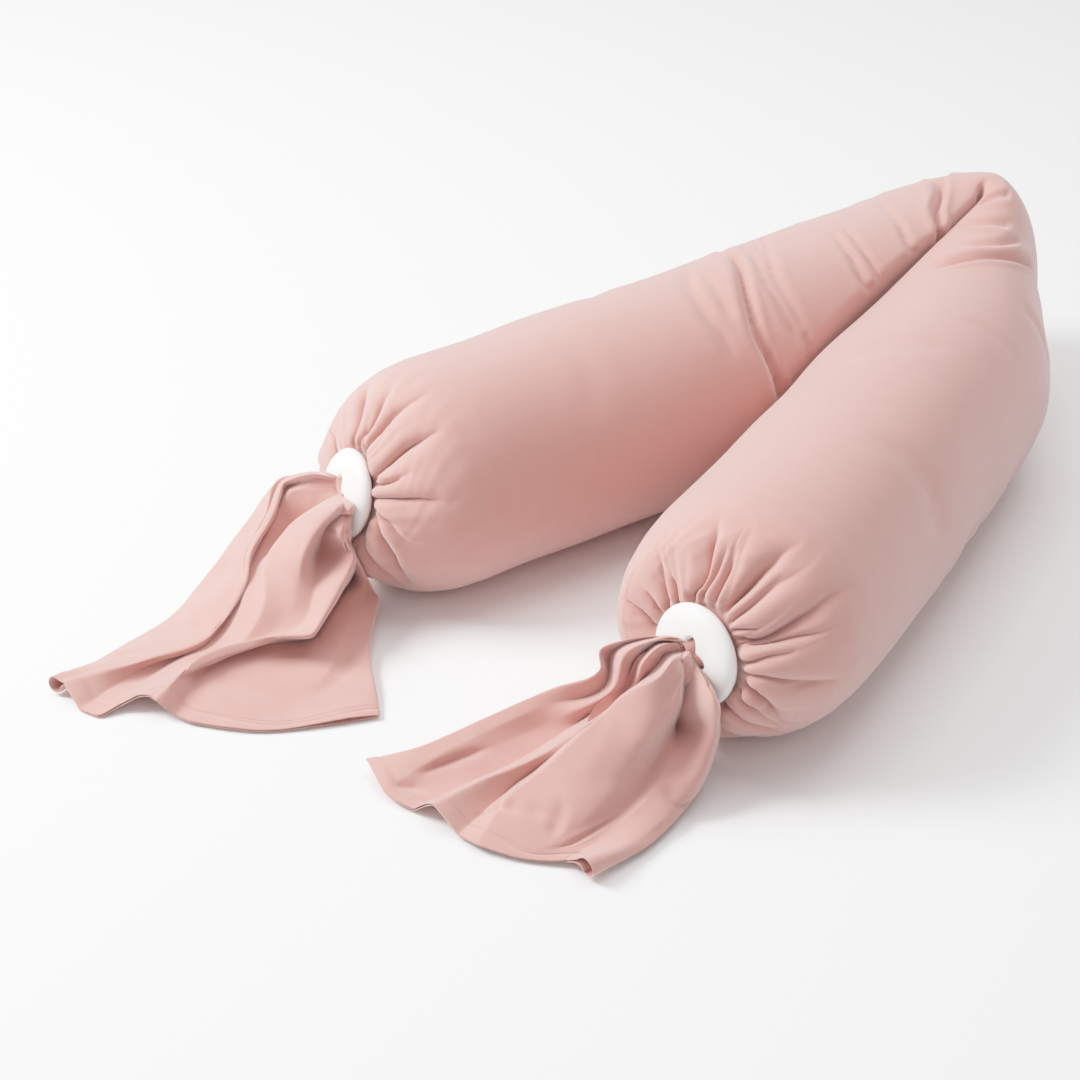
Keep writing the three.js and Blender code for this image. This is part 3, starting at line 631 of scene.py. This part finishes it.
def column_angles(rows, count):
    """Angles of the tube's columns in each row: close together on top and at the pleats."""
    fine = np.linspace(0, 360, 2881)
    plain = 1 / (1 - 0.32 * np.sin(np.radians(fine)))
    out = []
    for at, share, place in rows:
        density = plain.copy()
        for end, run in (("a", place), ("b", BODY_LENGTH - place)):
            pull = 3.2 * float(smoothstep(share, 0.1, 0.35) * (1 - smoothstep(run, 20, 110)))
            if pull > 0:
                for centre in pleat_centres(end, np.array([run]))[0]:
                    away = (fine - centre + 180) % 360 - 180
                    density += pull * np.exp(-((away / 3.2) ** 2))
        total = add_up((density[1:] + density[:-1]) / 2)
        out.append(np.interp(np.arange(count) / count * total[-1], total, fine))
    return np.radians(np.array(out))


def press(path, place, turn, scale, closed_turn=True):
    """Distance of each grid point from a path of (place, angle), signed, and how far along the path it is."""
    path = np.array(path, float)
    knots = add_up(np.hypot(np.diff(path[:, 0]), np.diff(path[:, 1]) * 1.5))
    fine = spline(knots, path, np.linspace(0, knots[-1], 40))
    best = np.full(np.broadcast(place, turn).shape, 1e9)
    share = np.zeros_like(best)
    for k in range(len(fine) - 1):
        p, q = fine[k], fine[k + 1]
        dp = place - p[0]
        dt = turn - p[1]
        if closed_turn:
            dt = (dt + 180) % 360 - 180
        dt = dt * scale
        ep, et = q[0] - p[0], (q[1] - p[1]) * scale
        t = np.clip((dp * ep + dt * et) / np.maximum(ep * ep + et * et, 1e-9), 0, 1)
        rp, rt = dp - t * ep, dt - t * et
        gap = np.sqrt(rp * rp + rt * rt)
        side = np.where(ep * dt - et * dp > 0, 1.0, -1.0)
        closer = gap < np.abs(best)
        best = np.where(closer, gap * side, best)
        share = np.where(closer, (k + t) / (len(fine) - 1), share)
    return best, share


def cusp(distance, wide):
    """A trough with a sharp bottom and soft sides."""
    return np.exp(0.2 - np.sqrt((distance / wide) ** 2 + 0.04))


def crease_depth(crease, place, turn, scale, kind):
    """Depth of a crease at the points of a grid: a trough with a low shoulder on each side."""
    start, stop, trough, rise = kind
    distance, part = press(crease["path"], place, turn, scale, kind is BODY_CREASE)
    high, low = crease["wide"]
    side = np.where(distance > 0, high, low)
    fade = smoothstep(part, 0, start) * (1 - smoothstep(part, stop, 1))
    shoulder = bell(np.abs(distance) - 2.1 * side, 1.1 * side)
    return crease["deep"] * fade * (cusp(distance, trough * side) - rise * shoulder)


def lumps(points, size, seed):
    """Soft uneven field of about -1 to 1 over points, from waves in random directions."""
    rng = np.random.default_rng(seed)
    total = np.zeros(points.shape[:-1])
    for _ in range(14):
        way = rng.normal(size=3)
        way *= 2 * np.pi / (size * rng.uniform(0.7, 1.6)) / np.linalg.norm(way)
        total += np.sin(points @ way + rng.uniform(0, 2 * np.pi))
    return total / 3.6


def minor_pleats(end):
    """Small shallow pleats between the named ones."""
    rng = np.random.default_rng(SEEDS[end])
    out = []
    for k in range(MINOR_PLEATS):
        angle = (k + rng.uniform(0.15, 0.85)) * 360 / MINOR_PLEATS
        far = rng.uniform(-12, 46)
        turn = rng.uniform(-5, 5)
        path = [(-43, angle), ((far - 43) / 2, angle + turn), (far, angle + 1.6 * turn)]
        out.append({"path": path, "deep": rng.uniform(1.2, 3.0), "wide": (4, 5), "lip": 0})
    return out


def back_creases():
    """Gentle creases for the sides that the photograph leaves out of sight."""
    rng = np.random.default_rng(SEEDS["back"])
    out = []
    for k in range(BACK_CREASES):
        place = 130 + 42 * k + rng.uniform(-14, 14)
        low = rng.uniform(-64, -30)
        high = min(low + rng.uniform(28, 70), 30 if place < 780 else -6)
        lean = rng.uniform(-28, 28)
        middle = (place + 0.5 * lean + rng.uniform(-7, 7), (low + high) / 2)
        path = [(place, low), middle, (place + lean, high)]
        deep = rng.uniform(1.6, 3.6)
        out.append({"path": path, "deep": deep, "wide": (rng.uniform(7, 13), rng.uniform(7, 13))})
    return out


def behind_ring(points, ring, out):
    """Moves points of the filled tube back off the rounded back of a ring."""
    way, along, radius, angle = from_ring(points, ring, out)
    reach = rim_radius(angle) + 0.8
    back = -RING_THICK / 2 * ring_section(radius / reach) - 0.4
    inside = (radius < reach) & (radius > HOLE_MEAN + HOLE_LOBE) & (along > back) & (along < RING_THICK)
    return points + np.where(inside, back - along, 0)[..., None] * way


def pleat_depths(end, run, share, scale, turn):
    """Depth of one end's pleats at the points of a grid, and how far they carry the cloth round."""
    depth = np.zeros(turn.shape)
    slide = np.zeros(turn.shape)
    start = smoothstep(share, 0.24, 0.36)
    for pleat in PLEATS[end] + minor_pleats(end):
        far = pleat["path"][-1][0]
        distance, _ = press(pleat["path"], run, turn, scale)
        low, high = pleat["wide"]
        wide = np.where(distance > 0, high, low) * lerp(0.45, 1.3, smoothstep(run, -RIM, 35))
        fade = (1 - smoothstep(run, lerp(-RIM, far, 0.25), far + 14)) * start
        depth += 1.25 * pleat["deep"] * fade * cusp(distance, wide * 0.55)
        over = np.sign(pleat["lip"]) * distance
        slide -= pleat["lip"] * fade * bell(over - 0.5 * wide, 0.6 * wide) * (over > -1)
    centres = pleat_centres(end, run[:, 0])
    centres = np.concatenate([centres[:, -1:] - 360, centres, centres[:, :1] + 360], axis=1)
    lobes = np.zeros(turn.shape)
    for k in range(centres.shape[1] - 1):
        low, high = centres[:, k : k + 1], centres[:, k + 1 : k + 2]
        gap = np.maximum(high - low, 1)
        wave = np.sin(np.pi * np.clip((turn - low) / gap, 0, 1))
        lobe = wave ** lerp(0.7, 2.0, smoothstep(run, -35, 25)) - 0.5
        lobes += (turn >= low) * (turn < high) * lobe * np.minimum(1, gap / 24)
    reach = start * np.exp(-np.maximum(0, run + 38) / 34) * (1 - smoothstep(run, 20, 80))
    return depth - LOBE * lobes * reach, slide


def body_grid():
    """The filled tube with its necks, pleats and creases, and the cloth's lengths round and along it."""
    rows = body_rows()
    angle = column_angles(rows, COLUMNS)
    at, share, place = (rows[:, k][:, None] for k in range(3))
    grid = body_points(at, share, angle)
    normal = grid_normals(grid, True)
    turn = np.degrees(angle) % 360
    # millimetres to a degree of turn
    scale = np.radians(1) * lerp(HOLE_MEAN, 120.0, share)
    depth = np.zeros(grid.shape[:2])
    slide = np.zeros(grid.shape[:2])
    for end in RINGS:
        mine = at < BODY_LENGTH / 2 if end == "a" else at >= BODY_LENGTH / 2
        run = place if end == "a" else BODY_LENGTH - place
        near = np.nonzero((mine & (run < PLEAT_REACH))[:, 0])[0]
        near = slice(near[0], near[-1] + 1)
        depth[near], slide[near] = pleat_depths(end, run[near], share[near], scale[near], turn[near])
    for crease in CREASES + back_creases():
        spots = [spot[0] for spot in crease["path"]]
        margin = 5 * max(crease["wide"])
        near = (rows[:, 2] > min(spots) - margin) & (rows[:, 2] < max(spots) + margin)
        depth[near] += crease_depth(crease, place[near], turn[near], scale[near], BODY_CREASE)
    loose = smoothstep(share, 0.4, 0.8)
    depth += loose * 1.1 * lumps(grid, 170, 3)
    spots = np.stack(np.broadcast_arrays(place / 5.0, turn * scale, 0 * turn), -1)
    near_ring = 1 - smoothstep(np.minimum(at, BODY_LENGTH - at), 10, 120)
    depth += loose * near_ring * 0.35 * lumps(spots, 16, 5)
    round_way = unit(np.roll(grid, -1, 1) - np.roll(grid, 1, 1))
    grid = grid - depth[..., None] * normal + slide[..., None] * round_way
    for end, ring in RINGS.items():
        grid = behind_ring(grid, ring, OUT[end])
    grid[..., 2] = np.maximum(grid[..., 2], 0)
    necks = []
    for end, turns in (("a", angle[0]), ("b", angle[-1])):
        loops = [ring_place(RINGS[end], turns, neck_radius(turns), along) for along in NECK_ALONG[end]]
        necks.append(np.array(loops))
    full = np.concatenate([necks[0], grid, necks[1]])
    extra = len(NECK_ALONG["a"])
    around = np.pad(angle, ((extra, extra), (0, 0)), mode="edge") / (2 * np.pi) * GIRTH
    return full, around, cloth_length(full)


# Meshes


def to_metres(points):
    return (points - np.array([*LAYOUT_CENTRE, 0.0])) / 1000.0


def grid_quads(rows, cols, closed):
    """Faces of a grid whose columns run round; closed joins its last row to its first."""
    j, i = np.meshgrid(np.arange(rows if closed else rows - 1), np.arange(cols), indexing="ij")
    k, after = (i + 1) % cols, (j + 1) % rows
    return np.stack([j * cols + i, j * cols + k, after * cols + k, after * cols + i], -1).reshape(-1, 4)


def tube_mesh(name, grid, around, along, girth, capped):
    """A tube of quads from a grid of closed loops, with its cloth lengths in metres as UVs."""
    rows, cols = grid.shape[:2]
    verts = to_metres(grid).reshape(-1, 3)
    u = np.concatenate([np.broadcast_to(around, (rows, cols)), np.full((rows, 1), girth)], 1)
    uv = np.stack([u, np.broadcast_to(along[:, None], u.shape)], -1)
    uv = np.stack([uv[:-1, :-1], uv[:-1, 1:], uv[1:, 1:], uv[1:, :-1]], 2).reshape(-1, 2) / 1000.0
    faces = [tuple(q) for q in grid_quads(rows, cols, False).tolist()]
    if capped:
        for start in (0, (rows - 1) * cols):
            ring = list(range(start, start + cols))
            centre = len(verts)
            verts = np.vstack([verts, verts[ring].mean(0)])
            pairs = [(ring[a], ring[(a + 1) % cols]) for a in range(cols)]
            faces += [(b, a, centre) if start == 0 else (a, b, centre) for a, b in pairs]
            uv = np.vstack([uv, np.zeros((3 * cols, 2))])
    mesh = bpy.data.meshes.new(name)
    mesh.from_pydata(verts.tolist(), [], faces)
    mesh.uv_layers.new(name="cloth").data.foreach_set("uv", uv.astype(np.float32).ravel())
    mesh.validate()
    mesh.update()
    return mesh


def outward(mesh):
    """Turns the faces of a mesh outwards."""
    work = bmesh.new()
    work.from_mesh(mesh)
    bmesh.ops.recalc_face_normals(work, faces=work.faces)
    work.to_mesh(mesh)
    work.free()


def add(name, mesh, material):
    mesh.polygons.foreach_set("use_smooth", [True] * len(mesh.polygons))
    mesh.materials.clear()
    mesh.materials.append(material)
    thing = bpy.data.objects.new(name, mesh)
    bpy.context.scene.collection.objects.link(thing)
    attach(thing, "root")
    return thing


# The empty ends


def tail_surface(end, rows, count):
    """Upper side of an empty end as a grid, with the place of its columns and of the table's rows."""
    lines = TAIL_LINES[end]
    points = np.array([line_points(line, RINGS[end], OUT[end]) for line in lines])
    steps = np.linalg.norm(np.diff(points, axis=1), axis=-1).mean(0)
    v_knots = add_up(steps) / steps.sum()
    widths = np.linalg.norm(np.diff(points[:, 2:], axis=0), axis=-1).mean(1)
    u_knots = add_up(widths) / widths.sum()
    # every line has a column of its own, and columns are closer together beside it
    spare = np.cumsum(np.diff(u_knots) * (count - STRIP * len(widths)))
    ends = np.round(spare + STRIP * np.arange(1, len(widths) + 1))
    shares = np.diff(np.concatenate([[0], ends])).astype(int)
    cols = []
    for k, n in enumerate(shares):
        t = np.arange(n) / n
        cols.append(lerp(u_knots[k], u_knots[k + 1], lerp(t, 0.5 - 0.5 * np.cos(np.pi * t), 0.6)))
    cols = np.append(np.concatenate(cols), 1.0)
    turns = np.zeros((len(v_knots), len(lines)))
    for k, line in enumerate(lines):
        turns[line.get("corner", [])] += 0.9 * (np.arange(len(lines)) == k)
    along = spline(v_knots, points.transpose(1, 0, 2), rows, turns[:, :, None])
    sharp = [line["sharp"] for line in lines]
    across = spline(u_knots, along.transpose(1, 0, 2), cols, sharp)
    return across.transpose(1, 0, 2), cols, v_knots


def tail_grid(end, body_tree):
    """Loops of points round an empty end, from inside its ring to the hem, and its columns."""
    ring, out = RINGS[end], OUT[end]
    hem = np.linspace(1 - HEM_BAND / TAIL_LENGTH[end], 1, HEM_ROWS)
    rows = np.concatenate([np.linspace(0, hem[0], TAIL_ROWS)[:-1], hem])
    upper, cols, v_knots = tail_surface(end, rows, TAIL_COLUMNS)
    upper = soften(upper, 1.0, 0.7, False)
    normal = grid_normals(upper, False)
    if normal[..., 2].mean() < 0:
        normal = -normal
    normal = unit(soften(normal, 2, 2, False))
    v, u = rows[:, None], cols[None, :]
    # by the ring the layers lie on its face
    axis = axes(ring["heading"], ring["tilt"])[0]
    flat = 1 - smoothstep(v * TAIL_LENGTH[end], 25, 70)
    normal = unit(lerp(normal, axis * out, flat[..., None]))
    # pleats by the ring
    width = np.linalg.norm(np.diff(upper, axis=1), axis=-1).sum(1)[:, None]
    sink = np.zeros(upper.shape[:2])
    for pleat in TAIL_PLEATS[end]:
        centre = lerp(pleat["u0"], pleat["u1"], np.clip(v / pleat["reach"], 0, 1))
        fade = 1 - smoothstep(v, 0.25 * pleat["reach"], pleat["reach"])
        sink += pleat["deep"] * fade * cusp((u - centre) * width, 3.0)
    for crease in TAIL_CREASES[end]:
        sink += crease_depth(crease, v * TAIL_LENGTH[end], u, width, TAIL_CREASE)
    # the hem is doubled back, with a groove where its stitches pull it in
    from_hem = (1 - v) * TAIL_LENGTH[end]
    sink += 0.9 * bell(from_hem - HEM_DEPTH, 1.7) - 0.7 * (1 - smoothstep(from_hem, 10, HEM_DEPTH))
    sink += smoothstep(v, 0.1, 0.3) * (0.9 * lumps(upper, 60, 7) + 0.3 * lumps(upper, 24, 8))
    upper = upper - sink[..., None] * normal
    # thickness of the two layers, the bundle by the ring and the open hem's corners
    from_edge = np.minimum(u, 1 - u) * width
    rounded = np.sqrt(np.clip(1 - (1 - np.clip(from_edge / 3.0, 0, 1)) ** 2, 0, 1))
    plump = np.maximum(0, spline(v_knots, np.array(PLUMP[end], float)[:, None], rows))[:, :1]
    low, high = BUNDLE_ACROSS[end]
    bundle = plump * np.sqrt(np.clip(1 - ((2 * u - low - high) / (high - low)) ** 2, 0, 1))
    open_end = smoothstep(v, 0.78, 1)
    outer, inner = MOUTH[end]
    mouth = open_end * (outer * bell(u - 0.05, 0.045) + inner * bell(u - 0.955, 0.035))
    half = rounded * (LAYER_HALF + bundle + mouth)
    middle = upper - (rounded * bundle)[..., None] * normal
    middle[..., 2] = np.maximum(middle[..., 2], half * np.abs(normal[..., 2]) + FLOOR_GAP)
    top = middle + half[..., None] * normal
    low = middle - half[..., None] * normal
    low[..., 2] = np.maximum(low[..., 2], FLOOR_GAP)
    loops = np.concatenate([top, low[:, -2:0:-1]], axis=1)
    # out of the hole and on to the first row
    start, finish = (np.radians(a) for a in HOLE_EDGES[end])
    upper_turn = lerp(start, finish, cols)
    lower_turn = lerp(finish, start + 2 * np.pi, 1 - cols[-2:0:-1])
    angle = np.concatenate([upper_turn, lower_turn])
    ripple = 0.5 + 0.5 * np.cos(angle * RIPPLES + 2 * np.sin(3 * angle))
    centre = ring_centre(ring)
    inside = ring_place(ring, angle, neck_radius(angle) - 1.1 * ripple**3, 0.0) - centre
    first = loops[0] - centre
    beside = first - (first @ axis)[:, None] * axis
    lead = []
    for deep, share in LEAD:
        lead.append(centre + lerp(inside, beside, share) + axis * out * (RING_THICK / 2 - deep))
    lead += [lerp(lead[-1], loops[0], t) for t in (0.35, 0.7)]
    loops = clear_of(np.concatenate([np.array(lead), loops]), ring, out, body_tree, cols.size, len(lead))
    return loops, cols


def clear_of(loops, ring, out, body_tree, top_count, led):
    """Moves the cloth of an empty end off its ring and off the filled tube."""
    for _ in range(2):
        way, along, radius, angle = from_ring(loops, ring, out)
        rim = rim_radius(angle)
        face = RING_THICK / 2 * ring_section(np.clip(radius / rim, 0, 1)) + 1.4
        on_ring = (radius > hole_radius(angle)) & (radius < rim + 1.5) & (along < face) & (along > -face)
        on_ring[: led - 3] = False
        loops = loops + np.where(on_ring, face - along, 0)[..., None] * way
        shift = np.zeros_like(loops)
        places = to_metres(loops)
        for j in range(led, loops.shape[0]):
            for i in range(loops.shape[1]):
                p = Vector(places[j, i])
                hit, off, _, _ = body_tree.find_nearest(p, 0.03)
                if hit is None:
                    continue
                room = TOP_ROOM if i < top_count else LOW_ROOM
                depth = (p - hit).dot(off)
                if depth < room:
                    shift[j, i] = np.array(off) * (room - depth) * 1000
        if np.abs(shift).max() == 0:
            break
        loops = loops + shift
        loops[led:] = soften(loops[led:], 0.7, 0.7, True)
    loops[..., 2] = np.maximum(loops[..., 2], FLOOR_GAP)
    return loops


def tail_object(end, body_tree, material, thread):
    loops, cols = tail_grid(end, body_tree)
    half = SLACK_GIRTH / 2
    around = np.concatenate([cols * half, SLACK_GIRTH - cols[-2:0:-1] * half])
    mesh = tube_mesh(f"loose_end_{end}", loops, around, cloth_length(loops), SLACK_GIRTH, False)
    outward(mesh)
    end_object = add(f"loose_end_{end}", mesh, material)
    solid = end_object.modifiers.new("cloth", "SOLIDIFY")
    solid.thickness = CLOTH / 1000
    solid.offset = -1
    solid.use_even_offset = False
    apply_modifiers(end_object)
    stitches = stitch_object(end, loops, cols.size, thread)


def apply_modifiers(thing):
    graph = bpy.context.evaluated_depsgraph_get()
    mesh = bpy.data.meshes.new_from_object(thing.evaluated_get(graph), depsgraph=graph)
    thing.modifiers.clear()
    thing.data = mesh


def stitch_object(end, loops, top_count, thread):
    """The hem's row of stitches, each a small flat bead lying on the upper layer."""
    upper = loops[:, :top_count]
    back = np.linalg.norm(np.diff(upper, axis=0), axis=-1)
    reach = np.vstack([np.cumsum(back[::-1], axis=0)[::-1], np.zeros((1, top_count))])
    rows = [np.nonzero(reach[:, i] <= HEM_DEPTH)[0][0] for i in range(top_count)]
    line = []
    for i, j in enumerate(rows):
        t = (reach[j - 1, i] - HEM_DEPTH) / max(reach[j - 1, i] - reach[j, i], 1e-6)
        line.append(lerp(upper[j - 1, i], upper[j, i], t))
    line = np.array(line)
    gaps = add_up(np.linalg.norm(np.diff(line, axis=0), axis=1))
    pitch, long, wide, high, margin, sides = 3.4, 2.3, 0.7, 0.35, 4.0, 6
    turns = np.arange(sides) / sides * 2 * np.pi
    section = ((0.0, 0.35), (0.25, 1.0), (0.75, 1.0), (1.0, 0.35))
    bead = grid_quads(len(section), sides, False)
    verts, faces = [], []
    for at in np.arange(margin, gaps[-1] - margin, pitch):
        ends = np.array([[np.interp(at + s, gaps, line[:, k]) for k in range(3)] for s in (0, long)])
        way = unit(ends[1] - ends[0])
        k = int(np.argmin(np.linalg.norm(line - ends.mean(0), axis=1)))
        j = rows[k]
        normal = unit(np.cross(way, upper[min(j + 1, len(upper) - 1), k] - upper[j - 2, k]))
        if normal[2] < 0:
            normal = -normal
        side = np.cross(normal, way)
        base = len(verts)
        for share, size in section:
            spot = lerp(ends[0], ends[1], share)
            for turn in turns:
                rise = np.sin(turn) * high * size + 0.1
                verts.append(spot + side * np.cos(turn) * wide / 2 * size + normal * rise)
        faces += (bead + base).tolist()
        faces.append(tuple(base + a for a in reversed(range(sides))))
        faces.append(tuple(len(verts) - sides + a for a in range(sides)))
    mesh = bpy.data.meshes.new(f"hem_stitches_{end}")
    mesh.from_pydata(to_metres(np.array(verts)).tolist(), [], faces)
    outward(mesh)
    return add(f"hem_stitches_{end}", mesh, thread)


# The rings


def pebble_object(end, material):
    """A ring: flat and rounded like a pebble, with its four-lobed hole."""
    count = 144
    angle = np.linspace(0, 2 * np.pi, count, endpoint=False)
    edge = 3.0 / (RING_RADIUS - HOLE_MEAN)
    section = []
    for share in 1 - np.linspace(0, 1, 22) ** 2:
        thick = ring_section(lerp(HOLE_MEAN / RING_RADIUS, 1, share))
        if share < edge:
            thick *= 0.76 + 0.24 * np.sqrt(max(0, 1 - (1 - share / edge) ** 2))
        section.append((share, thick))
    wall = [(0.0, section[-1][1] * k) for k in (0.6, 0.2, -0.2, -0.6)]
    section = section + wall + [(share, -thick) for share, thick in reversed(section[1:])]
    loops = []
    for share, thick in section:
        radius = lerp(hole_radius(angle), rim_radius(angle), share)
        loops.append(ring_place(RINGS[end], angle, radius, thick * RING_THICK / 2))
    mesh = bpy.data.meshes.new(f"pebble_{end}")
    verts = to_metres(np.array(loops)).reshape(-1, 3)
    mesh.from_pydata(verts.tolist(), [], grid_quads(len(section), count, True).tolist())
    outward(mesh)
    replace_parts(add(f"pebble_{end}", mesh, material), f"ring_{end}")


# Materials


def material_of(name, **sockets):
    """A material with its shader's sockets set, and functions that add nodes and set more sockets."""
    material = bpy.data.materials.new(name)
    material.use_nodes = True
    tree = material.node_tree

    def fill(node, values):
        for key, value in values.items():
            if isinstance(value, bpy.types.NodeSocket):
                tree.links.new(value, node.inputs[key])
            else:
                node.inputs[key].default_value = value

    def add_node(kind, values=None, **settings):
        node = tree.nodes.new("ShaderNode" + kind)
        for key, value in settings.items():
            setattr(node, key, value)
        fill(node, values or {})
        return node.outputs

    def shade(values):
        fill(tree.nodes["Principled BSDF"], values)

    shade(sockets)
    return material, add_node, shade


def mix(add_node, share, low, high, **settings):
    """A colour between two."""
    return add_node("Mix", {0: share, 6: low, 7: high}, data_type="RGBA", **settings)[2]


def jersey_material():
    material, add_node, shade = material_of("jersey", Roughness=0.88)

    def math(kind, *values):
        return add_node("Math", dict(enumerate(values)), operation=kind)[0]

    def noise(scale, detail):
        return add_node("TexNoise", {"Scale": scale, "Detail": detail, "Vector": place})[0]

    place = add_node("TexCoord")["Object"]
    round_way, along, _ = add_node("SeparateXYZ", {0: add_node("UVMap", uv_map="cloth")[0]})
    # knit: columns of V-shaped stitches, 0.9 mm apart and 0.75 mm long
    wale = math("MULTIPLY", round_way, 1000 / 0.9)
    course = math("MULTIPLY", along, 1000 / 0.75)
    across = math("PINGPONG", wale, 0.5)
    column_high = math("SINE", math("MULTIPLY", across, 2 * np.pi))
    slanted = math("ADD", course, math("MULTIPLY", across, 1.3))
    row_high = math("ABSOLUTE", math("SINE", math("MULTIPLY", slanted, np.pi)))
    knit = math("MULTIPLY", math("ADD", column_high, 0.25), row_high)
    fuzz, slub, wide = noise(900, 3), noise(55, 4), noise(5, 2)
    uneven = math("ADD", math("MULTIPLY", slub, 0.45), math("MULTIPLY", wide, 0.55))
    tone = mix(add_node, uneven, (0.60, 0.285, 0.245, 1), (0.68, 0.35, 0.31, 1))
    between = math("MULTIPLY", math("SUBTRACT", 1.0, row_high), 0.5)
    colour = mix(add_node, between, tone, (0.86, 0.8, 0.8, 1), blend_type="MULTIPLY")
    height = math("ADD", knit, math("MULTIPLY", fuzz, 0.6))
    fine = add_node("Bump", {"Strength": 0.35, "Distance": 0.00025, "Height": height})[0]
    soft = add_node("Bump", {"Strength": 0.25, "Distance": 0.0012, "Height": slub, "Normal": fine})[0]
    shade({"Base Color": colour, "Normal": soft, "Specular IOR Level": 0.25})
    shade({"Sheen Weight": 0.8, "Sheen Roughness": 0.5, "Sheen Tint": (1.0, 0.93, 0.93, 1)})
    return material


def thread_material():
    material, add_node, shade = material_of("thread", Roughness=0.6)
    wave = add_node("TexNoise", {"Scale": 700})[0]
    colour = mix(add_node, wave, (0.52, 0.27, 0.24, 1), (0.66, 0.38, 0.34, 1))
    shade({"Base Color": colour, "Sheen Weight": 0.2})
    return material


def silicone_material():
    material, add_node, shade = material_of("silicone", Roughness=0.42)
    place = add_node("TexCoord")["Object"]
    cloud = add_node("TexNoise", {"Scale": 14, "Vector": place})[0]
    grain = add_node("TexNoise", {"Scale": 420, "Vector": place})[0]
    colour = mix(add_node, cloud, (0.86, 0.845, 0.825, 1), (0.92, 0.905, 0.885, 1))
    bump = add_node("Bump", {"Strength": 0.15, "Distance": 0.0002, "Height": grain})[0]
    shade({"Base Color": colour, "Normal": bump, "Subsurface Weight": 0.15, "Subsurface Scale": 1.0})
    shade({"Subsurface Radius": (0.01, 0.008, 0.006)})
    return material


# Stage


def stage():
    scene = bpy.context.scene
    world = bpy.data.worlds.new("studio")
    world.use_nodes = True
    background = world.node_tree.nodes["Background"]
    background.inputs[0].default_value = (1, 1, 1, 1)
    background.inputs[1].default_value = 0.32
    scene.world = world
    mesh = bpy.data.meshes.new("floor")
    size = 6.0
    corners = [(-size, -size, 0), (size, -size, 0), (size, size, 0), (-size, size, 0)]
    mesh.from_pydata(corners, [], [(0, 1, 2, 3)])
    floor = bpy.data.objects.new("floor", mesh)
    scene.collection.objects.link(floor)
    floor.location.z = -0.0005
    material, _, shade = material_of("floor", Roughness=0.9)
    shade({"Base Color": (0.93, 0.93, 0.93, 1)})
    mesh.materials.append(material)
    lights = (
        ("key", (-2.2, -1.5, 2.3), 1.3, 112),
        ("low", (-1.7, -2.5, 0.8), 1.5, 15),
        ("fill", (1.8, -1.0, 2.0), 2.2, 5),
        ("top", (-0.2, 0.6, 3.0), 2.4, 42),
    )
    for name, place, width, power in lights:
        lamp = bpy.data.lights.new(name, "AREA")
        lamp.shape = "SQUARE"
        lamp.size = width
        lamp.energy = power
        thing = bpy.data.objects.new(name, lamp)
        thing.location = place
        thing.rotation_euler = (Vector((0, 0, 0.1)) - Vector(place)).to_track_quat("-Z", "Y").to_euler()
        scene.collection.objects.link(thing)
    back = Vector(view_axes()[2])
    camera = bpy.data.cameras.new("camera")
    camera.lens = LENS
    camera.sensor_width = SENSOR
    thing = bpy.data.objects.new("camera", camera)
    thing.location = Vector(to_metres(np.zeros(3))) + back * DISTANCE / 1000
    thing.rotation_euler = back.to_track_quat("Z", "Y").to_euler()
    scene.collection.objects.link(thing)
    scene.camera = thing
    # a camera's soft shoulder: bright cloth pales, shaded cloth keeps its colour
    view = scene.view_settings
    view.view_transform = "Standard"
    view.use_curve_mapping = True
    curves = view.curve_mapping
    white, bend, knots = 1.6, 1.6, 16
    curves.white_level = (white, white, white)
    curve = curves.curves[3]
    for k in range(1, knots):
        x = (k / knots) ** 1.5
        curve.points.new(x, (1 - np.exp(-bend * white * x)) / (1 - np.exp(-bend * white)))
    curves.update()


def main():
    jersey = jersey_material()
    thread = thread_material()
    silicone = silicone_material()
    grid, around, lengths = body_grid()
    mesh = tube_mesh("filled_tube", grid, around, lengths, GIRTH, True)
    outward(mesh)
    tube = add("filled_tube", mesh, jersey)
    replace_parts(tube, "cover")
    faces = [tuple(p.vertices) for p in mesh.polygons]
    body_tree = BVHTree.FromPolygons([v.co.copy() for v in mesh.vertices], faces)
    for end in RINGS:
        tail_object(end, body_tree, jersey, thread)
        pebble_object(end, silicone)
    stage()


main()
